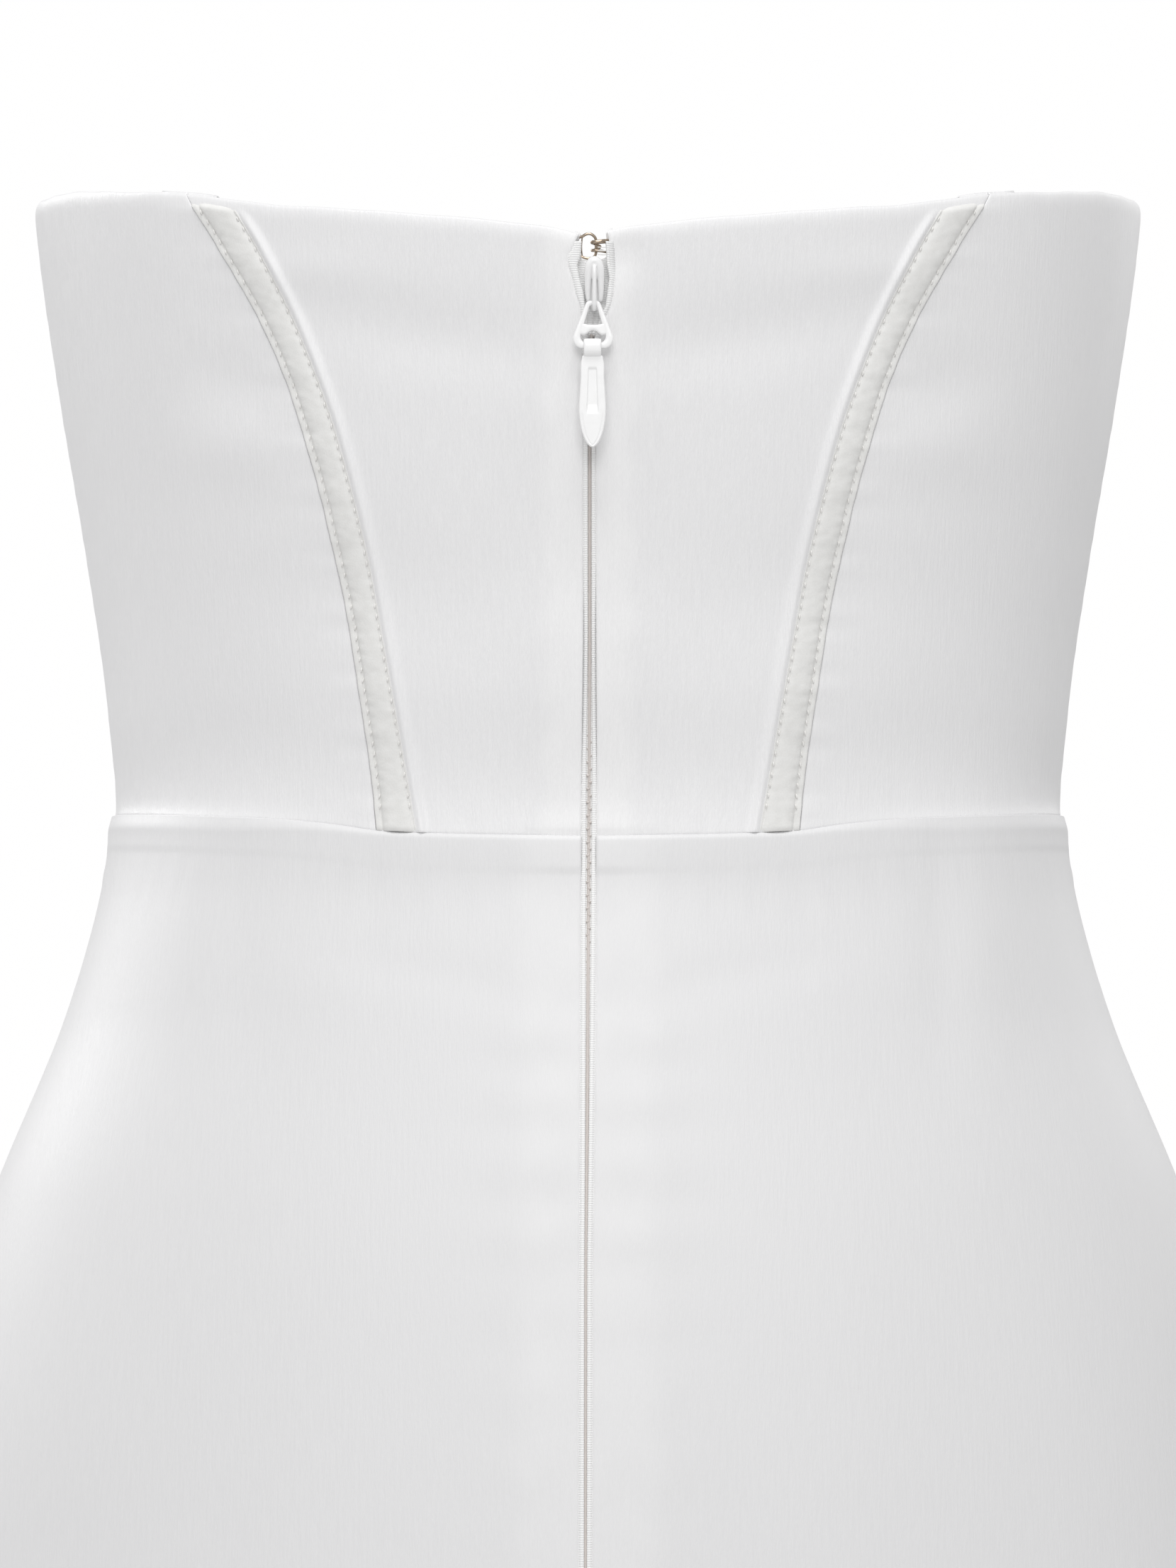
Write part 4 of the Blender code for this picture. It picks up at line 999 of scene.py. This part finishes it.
TAPE_THICKNESS = 0.3
FLOOR_END = {"height": 129.2, "over": 0.8}
SLIT_SHARE = 0.95
RIB_PITCH = 0.53
SLIT_FLOOR = {"height": (104, 112), "out": (-0.7, -1.65)}
COIL = {"low": -186.0, "high": 112.0, "pitch": 1.58, "radius": 0.3}
COIL_OUT = {"height": (-40, -28, 8, 20), "out": (-0.95, -0.56, -0.56, -0.95)}
COIL_LOOP = {
    "share": np.array([-0.7, -0.6, -0.3, 0.0, 0.15, 0.2]),
    "radius": (0.0, 0.8, 1.0, 1.0, 0.75, 0.0),
    "slant": 0.25,
}
CHAIN = {"out": -0.82, "radius": 0.42}
BACKWARDS = (0.0, 1.0, 0.0)


def tape_points(heights, is_left):
    """A tape's points: columns from the zip's middle to the satin. Its floor in the slit ends at the eye."""
    read = {column: np.interp(heights, ZIP["height"], ZIP[column])[:, None] for column in ZIP}
    middle = (1 if is_left else -1) * read["middle"]
    inner = middle + SLIT_SHARE * read["half_slit"]
    outer = middle + read["half_slit"] + read["left_tape" if is_left else "right_tape"]
    table = {column: np.array(values) for column, values in TAPE_COLUMNS.items()}
    x = table["middle"] * middle + table["inner"] * inner + table["outer"] * outer + table["beyond"]
    floor_share = np.clip((FLOOR_END["height"] - heights[:, None]) / FLOOR_END["over"], 0, 1)
    x = np.maximum(x, inner + (x - inner) * floor_share)
    out = np.maximum(table["out"], np.interp(heights, SLIT_FLOOR["height"], SLIT_FLOOR["out"])[:, None])
    height = np.broadcast_to(heights[:, None], x.shape)
    return moved_out(body_point, turn_at(x, height), height, out)


def capped_tube(route, radius, sides=14, facing_to=(1.0, 0.0, 0.0)):
    """A tube with half-round ends: three more rings beyond each, set and sized by a quarter circle."""
    radius = np.broadcast_to(np.asarray(radius, float), route.shape[:-1])
    share, size = np.array([1.0, 0.87, 0.5]), np.array([0.0, 0.5, 0.87])
    first, last = route[0] - route[1], route[-1] - route[-2]
    before = route[0] + (share * radius[0])[:, None] * first / np.linalg.norm(first)
    after = route[-1] + (share[::-1] * radius[-1])[:, None] * last / np.linalg.norm(last)
    route = np.concatenate([before, route, after])
    radius = np.concatenate([size * radius[0], radius, size[::-1] * radius[-1]])
    return tube(route, radius, sides, facing_to)


def joined(name, parts, finish, body):
    """One object of several closed parts, which rides on a body."""
    shape = bmesh.new()
    for part in parts:
        mesh = tube_mesh(name, part)
        shape.from_mesh(mesh)
        bpy.data.meshes.remove(mesh)
    mesh = bpy.data.meshes.new(name)
    shape.to_mesh(mesh)
    shape.free()
    mesh.shade_smooth()
    piece = add_piece(name, mesh, finish)
    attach(piece, body)
    return piece


def tape_finish(name):
    """Woven polyester tape: ribs across it, a sine along its length, with painted shade in the grooves
    between them and their crests painted lighter.
    """
    finish, tree, shader = new_material(name)
    height = part_of(tree, object_place(tree), "Z")
    ribs = worked_out(tree, "SINE", worked_out(tree, "MULTIPLY", height, 2 * math.pi / (RIB_PITCH * MM)))
    rib_height_and_shade = add_node(tree, "ShaderNodeMapRange", {"Value": ribs, "From Min": -1.0})
    # Painted shade and highlight: the tone follows the ribs' height, darker in their grooves and lighter on
    # their crests.
    tone = tone_between(tree, rib_height_and_shade, (0.86, 0.86, 0.855), (0.97, 0.97, 0.97))
    bump = add_node(tree, "ShaderNodeBump", {"Height": rib_height_and_shade, "Strength": 0.6, "Distance": 0.00012})
    feed(tree, shader, {"Base Color": tone, "Normal": bump, "Roughness": 0.55})
    return finish


tape_weave = tape_finish("zip_tape_weave")
tape_heights = np.arange(-188.0, 133.5, 0.5)
for side, is_left in SIDES:
    points = tape_points(tape_heights, is_left)
    tape = add_cloth(f"tape_{side}", points if is_left else mirrored(points), tape_weave, TAPE_THICKNESS)
    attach(tape, "gown")
    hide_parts(f"zip_tape_{side}")

coil_heights = np.arange(COIL["low"], COIL["high"], COIL["pitch"])
coil_middle = np.interp(coil_heights, ZIP["height"], ZIP["middle"])
coil_side = np.where(np.arange(len(coil_heights)) % 2, 1.0, -1.0)[:, None]
coil_x = coil_middle[:, None] - coil_side * COIL_LOOP["share"]
coil_height = coil_heights[:, None] + COIL_LOOP["slant"] * COIL_LOOP["share"]
coil_out = np.interp(coil_height, COIL_OUT["height"], COIL_OUT["out"])
coil_route = moved_out(body_point, turn_at(coil_x, coil_height), coil_height, coil_out)
coil_radius = COIL["radius"] * np.array(COIL_LOOP["radius"])
nylon = thread_finish("coil_nylon", (0.68, 0.63, 0.60), 0.45)
chain_out = np.full_like(coil_middle, CHAIN["out"])
chain_route = moved_out(body_point, turn_at(coil_middle, coil_heights), coil_heights, chain_out)
chain = capped_tube(chain_route, CHAIN["radius"], sides=10, facing_to=BACKWARDS)
coil = joined("zip_coil", [tube(coil_route, coil_radius), chain], nylon, "gown")


# Slider
# White-lacquered zinc: a crown with two legs, a plate behind them, and a bridge down its front that curls
# back in under the link. It leans with the back.
SLIDER_ACROSS, SLIDER_HEIGHT = -1.5, 122.0
HINGE_OUT, HINGE_DOWN, CURL_RADIUS = 1.5, 3.5, 1.5
SLIDER_ARCH = (
    (1.42, 0.3, -2.7), (1.5, 0.45, -2.0), (1.55, 0.6, -0.5), (1.52, 0.7, 1.6), (1.4, 0.75, 3.4),
    (1.15, 0.72, 4.9), (0.62, 0.66, 6.0), (0, 0.62, 6.35),
)
ARCH_RADIUS = (0.48, 0.56, 0.66, 0.78, 0.95, 1.1, 1.2, 1.25)
BRIDGE = (
    (0, 0.9, 5.2), (0, 1.9, 5.1), (0, 2.6, 4.5), (0, 2.95, 3.4), (0, 3.0, 2.0), (0, 3.0, 0.0),
    (0, 3.0, -2.0), (0, 2.95, -3.5),
)
BRIDGE_RADIUS = 0.5
CURL_ANGLES = (25, 50, 75, 100, 125, 150)
CURL_END = (0, -0.2, -4.15)
ARCH_STEPS = 34


def curved(points, count):
    """A smooth route through a table of points, each part of it read with the same cubic pieces."""
    points = np.asarray(points, float)
    places = np.arange(len(points))
    t = np.linspace(0, len(points) - 1, count)
    return np.stack([smooth(t, places, points[:, part]) for part in range(points.shape[1])], axis=-1)


def rounded_block(centre, radii, power, rings=20, sides=32):
    """A superellipsoid: sines and cosines of two angles to a power, which is boxy when it is small."""
    def shaped(value):
        """A value raised to the power, with its sign kept."""
        return np.sign(value) * np.abs(value) ** power

    lift = np.linspace(-math.pi / 2, math.pi / 2, rings)[:, None]
    turn = np.linspace(0, 2 * math.pi, sides, endpoint=False)[None]
    belt = np.where(np.abs(np.cos(lift)) < 1e-9, 0, shaped(np.cos(lift)))
    x = belt * shaped(np.cos(turn))
    y = belt * shaped(np.sin(turn))
    z = shaped(np.sin(lift)) + 0 * turn
    return np.array(centre, float) + np.array(radii) * np.stack([x, y, z], axis=-1)


def on_back(points, across):
    """Points of the slider's own frame (across, out, up) on the leaning back at the slider's height."""
    step = 6.0
    rise_of_back = body_point(0.0, SLIDER_HEIGHT + step) - body_point(0.0, SLIDER_HEIGHT - step)
    lean = math.atan2(rise_of_back[1], rise_of_back[2])
    base = body_point(0.0, SLIDER_HEIGHT)
    y = base[1] + points[..., 1] * math.cos(lean) + points[..., 2] * math.sin(lean)
    z = base[2] - points[..., 1] * math.sin(lean) + points[..., 2] * math.cos(lean)
    return np.stack([points[..., 0] + across, y, z], axis=-1)


def lacquer_finish(name):
    """White lacquer over metal: a clear coat on a base that is a little uneven."""
    finish, tree, shader = new_material(name)
    drift = noise_at(tree, object_place(tree), 320.0, 3.0)
    tone = tone_between(tree, drift, (0.92, 0.92, 0.92), (0.96, 0.96, 0.96))
    bump = add_node(tree, "ShaderNodeBump", {"Height": drift, "Strength": 0.15, "Distance": 0.0004})
    feed(tree, shader, {
        "Base Color": tone, "Normal": bump, "Roughness": 0.28, "Coat Weight": 0.5, "Coat Roughness": 0.12,
    })
    return finish


lacquer = lacquer_finish("white_lacquer")
left_arch = curved(SLIDER_ARCH, ARCH_STEPS)
right_arch = (left_arch * np.array([-1, 1, 1]))[-2::-1]
arch_radius = curved(np.array(ARCH_RADIUS)[:, None], ARCH_STEPS)[:, 0]
arch = capped_tube(
    np.concatenate([left_arch, right_arch]), np.concatenate([arch_radius, arch_radius[-2::-1]]),
    sides=20, facing_to=BACKWARDS,
)
curl = []
for angle in CURL_ANGLES:
    inwards, downwards = math.cos(math.radians(angle)), math.sin(math.radians(angle))
    curl.append((0, HINGE_OUT + CURL_RADIUS * inwards, -HINGE_DOWN - CURL_RADIUS * downwards))
bridge = capped_tube(curved((*BRIDGE, *curl, CURL_END), 60), BRIDGE_RADIUS)
parts = [
    arch,
    rounded_block((0, 0.2, 4.6), (2.0, 1.35, 2.6), 0.85),
    rounded_block((0, -0.75, 1.2), (1.8, 0.45, 4.5), 0.35),
    rounded_block((0, -0.3, -4.1), (0.75, 0.55, 1.05), 0.4),
    bridge,
]
slider = joined("slider", [on_back(part, SLIDER_ACROSS) for part in parts], lacquer, "gown")
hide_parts("zip_slider")


# Pull link
# A flat ring of the same lacquered metal, narrow at the top where it hangs from the bridge and wide below,
# where a bar across it closes the round hole that holds the tab.
LINK_ACROSS = -1.2
LINK_CIRCLES = ((0.8, -0.55, 1.0), (2.4, -8.55, 2.3))
LINK_HOLE = ((0.0, -1.45, 1.0), (1.15, -4.4, 0.6), (1.35, -8.0, 1.6))
LINK_HALF_THICKNESS = 0.45
LINK_BAR = (
    (-2.3, 0, -6.3), (-1.6, 0, -6.15), (-0.8, 0, -5.95), (0, 0, -5.9), (0.8, 0, -5.95), (1.6, 0, -6.15),
    (2.3, 0, -6.3),
)
LINK_BAR_RADIUS = (1.5, 1.15, 0.8, 0.7, 0.8, 1.15, 1.5)
LINK_BAR_FLATNESS, LINK_BAR_HALF = 0.8, 0.43
BOXINESS = 0.45


def round_circles(circles, direction):
    """The outline round circles and their mirror images: in each direction, the farthest circle's edge."""
    every = np.array([(side * across, up, radius) for across, up, radius in circles for side in (1, -1)])
    normal = np.stack([np.cos(direction), np.sin(direction)], axis=-1)
    reach = normal @ every[:, :2].T + every[:, 2]
    chosen = every[reach.argmax(axis=1)]
    return chosen[:, :2] + chosen[:, 2:] * normal


def hoop(outer, inner, half_thickness, rings=96, sides=20):
    """A flat ring between two outlines: its section is a rounded box, cosine and sine to a small power."""
    direction = np.linspace(0.02, 2 * math.pi + 0.02, rings, endpoint=False)
    direction = np.append(direction, direction[0])
    section = np.linspace(0, 2 * math.pi, sides, endpoint=False)
    share = 0.5 + 0.5 * np.sign(np.cos(section)) * np.abs(np.cos(section)) ** BOXINESS
    thick = half_thickness * np.sign(np.sin(section)) * np.abs(np.sin(section)) ** BOXINESS
    far, near = round_circles(outer, direction), round_circles(inner, direction)
    flat = near[:, None] + share[None, :, None] * (far - near)[:, None]
    return np.stack([flat[..., 0], np.broadcast_to(thick, flat.shape[:2]), flat[..., 1]], axis=-1)


link_place = on_back(np.array([0.0, HINGE_OUT, -HINGE_DOWN]), LINK_ACROSS)
bar_radius = curved(np.array(LINK_BAR_RADIUS)[:, None], 25)[:, 0]
bar = capped_tube(curved(LINK_BAR, 25), bar_radius, facing_to=BACKWARDS)
bar[..., 1] = np.clip(bar[..., 1] * LINK_BAR_FLATNESS, -LINK_BAR_HALF, LINK_BAR_HALF)
parts = [hoop(LINK_CIRCLES, LINK_HOLE, LINK_HALF_THICKNESS) + link_place, bar + link_place]
link = joined("pull_link_ring", parts, lacquer, "pull_link")
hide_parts("zip_pull_link")


# Pull tab
# A long plain tab of the same metal on a loop that turns on the link's lowest bar. Its face has a shallow
# sunk panel that ends in a ramp, and a fine line inside each edge below it.
TAB_ACROSS, TAB_DROP = -1.05, 10.15
TAB = {
    "down": (2.3, 2.5, 3.2, 8, 12, 15, 17.6, 19.7, 21.3, 22.6, 23.5, 24.1),
    "half_width": (1.9, 2.25, 2.5, 2.8, 3.05, 3.2, 3.05, 2.7, 2.25, 1.7, 1.1, 0.4),
}
TAB_HALF_THICKNESS, TAB_EDGE = 0.6, 0.32
TAB_PANEL = {
    "top": 5.4, "bottom": 14.3, "ramp": 1.9, "half_width": 1.0, "widening": 0.035, "depth": 0.2,
    "side_wall": 0.12, "top_wall": 0.15,
}
FINE_LINE = {"depth": 0.07, "from_edge": 0.75, "spread": 0.09, "start": 16.0, "over": 0.6}
LOOP_CIRCLES = ((0, 0, 1.65), (0, -1.2, 1.65))
LOOP_HOLE = ((0, 0, 1.05), (0, -1.0, 1.05))
LOOP_HALF_WIDTH = 2.05


def tab_points(rings=110, front=57, back=15):
    """The tab's rings from top to tip: a flat face with rounded edges, and the relief of its face."""
    share = 0.5 - 0.5 * np.cos(np.linspace(0, math.pi, rings))
    down = (TAB["down"][0] + share * (TAB["down"][-1] - TAB["down"][0]))[:, None]
    half_width = smooth(down, TAB["down"], TAB["half_width"])
    across = np.concatenate([np.linspace(-1, 1, front), np.linspace(1, -1, back)])
    is_front = np.arange(front + back) < front
    x = across * half_width
    beyond = np.clip((np.abs(x) - half_width + TAB_EDGE) / TAB_EDGE, 0, 1)
    face = TAB_HALF_THICKNESS - TAB_EDGE * (1 - np.sqrt(1 - beyond**2))
    panel_half = TAB_PANEL["half_width"] + TAB_PANEL["widening"] * (down - TAB_PANEL["top"])
    inside = np.clip((panel_half - np.abs(x)) / TAB_PANEL["side_wall"], 0, 1)
    inside = inside * np.clip((down - TAB_PANEL["top"]) / TAB_PANEL["top_wall"], 0, 1)
    ramp = np.clip((TAB_PANEL["bottom"] + TAB_PANEL["ramp"] - down) / TAB_PANEL["ramp"], 0, 1)
    from_line = np.abs(x) - half_width + FINE_LINE["from_edge"]
    fine_line = FINE_LINE["depth"] * bell(from_line, FINE_LINE["spread"])
    fine_line = fine_line * np.clip((down - FINE_LINE["start"]) / FINE_LINE["over"], 0, 1)
    relief = TAB_PANEL["depth"] * inside * ramp + fine_line
    y = np.where(is_front, face - relief, -face)
    points = np.stack([x, y, np.broadcast_to(-down, x.shape)], axis=-1)
    ends = [np.broadcast_to(end.mean(axis=1, keepdims=True), end.shape) for end in (points[:1], points[-1:])]
    return np.concatenate([ends[0], points, ends[1]])


tab_place = link_place * np.array([0, 1, 1]) + np.array([TAB_ACROSS, 0, -TAB_DROP])
loop = hoop(LOOP_CIRCLES, LOOP_HOLE, LOOP_HALF_WIDTH, rings=48)[..., [1, 0, 2]]
tab = joined("pull_tab_plate", [tab_points() + tab_place, loop + tab_place], lacquer, "pull_tab")
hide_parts("zip_pull_tab")


# Hook and eye
# Bent brass-coloured wire at the top of the zip, sewn inside the edge: the eye's frame stands across the gap
# and the hook reaches towards it. Three thread bars hold the hook's lower loops.
EYE_ROUTE = (
    (5.2, -2.3, 133.2), (3.4, -2.2, 133.8), (1.5, -2.0, 134.2), (0.6, -1.95, 134.7),
    (-0.3, -1.95, 134.9), (-1.2, -1.95, 134.5), (-1.85, -1.95, 133.6), (-1.9, -1.95, 132.0),
    (-1.85, -1.95, 130.3), (-1.3, -1.95, 129.4), (-0.3, -1.95, 129.1), (0.7, -1.95, 129.2),
    (1.6, -2.0, 129.5), (3.4, -2.2, 129.8), (5.2, -2.3, 130.0),
)
EYE_POST = ((1.35, -2.0, 129.5), (1.5, -2.0, 131.0), (1.5, -2.0, 132.6), (1.35, -2.0, 134.2))
HOOK_ROUTE = (
    (-9.0, -2.4, 133.2), (-7.0, -2.3, 133.3), (-4.9, -2.2, 133.2), (-3.9, -1.7, 133.1),
    (-3.1, -1.25, 133.0), (-1.8, -1.2, 132.9), (-1.15, -1.5, 132.9), (-0.95, -2.05, 132.8),
    (-1.3, -2.6, 132.7), (-2.1, -2.8, 132.4), (-2.9, -2.85, 131.9), (-2.1, -2.8, 131.4),
    (-1.3, -2.6, 131.1), (-0.95, -2.05, 131.0), (-1.15, -1.5, 130.9), (-1.8, -1.2, 130.9),
    (-3.1, -1.25, 130.8), (-3.9, -1.7, 130.7), (-4.9, -2.2, 130.6), (-7.0, -2.3, 130.5),
    (-9.0, -2.4, 130.6),
)
THREAD_BARS = (131.7, 130.9, 130.0)
EYE_RADIUS, POST_RADIUS, BAR_RADIUS = 0.34, 0.16, 0.13
HOOK_RADIUS = {"wire": 0.34, "thicker": 0.22, "at": 18, "spread": 14}
HOOK_STEPS = 120


def inside_back(route, count):
    """A smooth route given as across, out of the cloth and height, placed on the gown's back."""
    across, out, height = curved(route, count).T
    return moved_out(body_point, turn_at(across, height), height, out)


def wire_finish(name):
    """Brass-coloured wire, a little tarnished: metal whose roughness and tone drift."""
    finish, tree, shader = new_material(name)
    tarnish = noise_at(tree, object_place(tree), 700.0, 3.0)
    tone = tone_between(tree, tarnish, (0.25, 0.18, 0.125), (0.62, 0.53, 0.43))
    gloss = between(tree, tarnish, 0.38, 0.16)
    feed(tree, shader, {"Base Color": tone, "Roughness": gloss, "Metallic": 1.0})
    return finish


brass = wire_finish("brass_wire")
eye_parts = [
    capped_tube(inside_back(EYE_ROUTE, 90), EYE_RADIUS, sides=10, facing_to=BACKWARDS),
    capped_tube(inside_back(EYE_POST, 14), POST_RADIUS, sides=8, facing_to=BACKWARDS),
]
eye = joined("eye_frame", eye_parts, brass, "gown")
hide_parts("eye")
hook_bend = bell(np.arange(HOOK_STEPS) - HOOK_RADIUS["at"], HOOK_RADIUS["spread"])
hook_radius = HOOK_RADIUS["wire"] + HOOK_RADIUS["thicker"] * hook_bend
hook_part = capped_tube(inside_back(HOOK_ROUTE, HOOK_STEPS), hook_radius, sides=10, facing_to=BACKWARDS)
hook = joined("hook_wire", [hook_part], brass, "gown")
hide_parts("hook")
bars = []
for height in THREAD_BARS:
    bar_route = inside_back(((-2.4, -0.9, height), (-3.6, -0.8, height - 0.1), (-5.0, -1.0, height)), 9)
    bars.append(capped_tube(bar_route, BAR_RADIUS, sides=8, facing_to=BACKWARDS))
bar_threads = joined("hook_thread_bars", bars, thread, "gown")
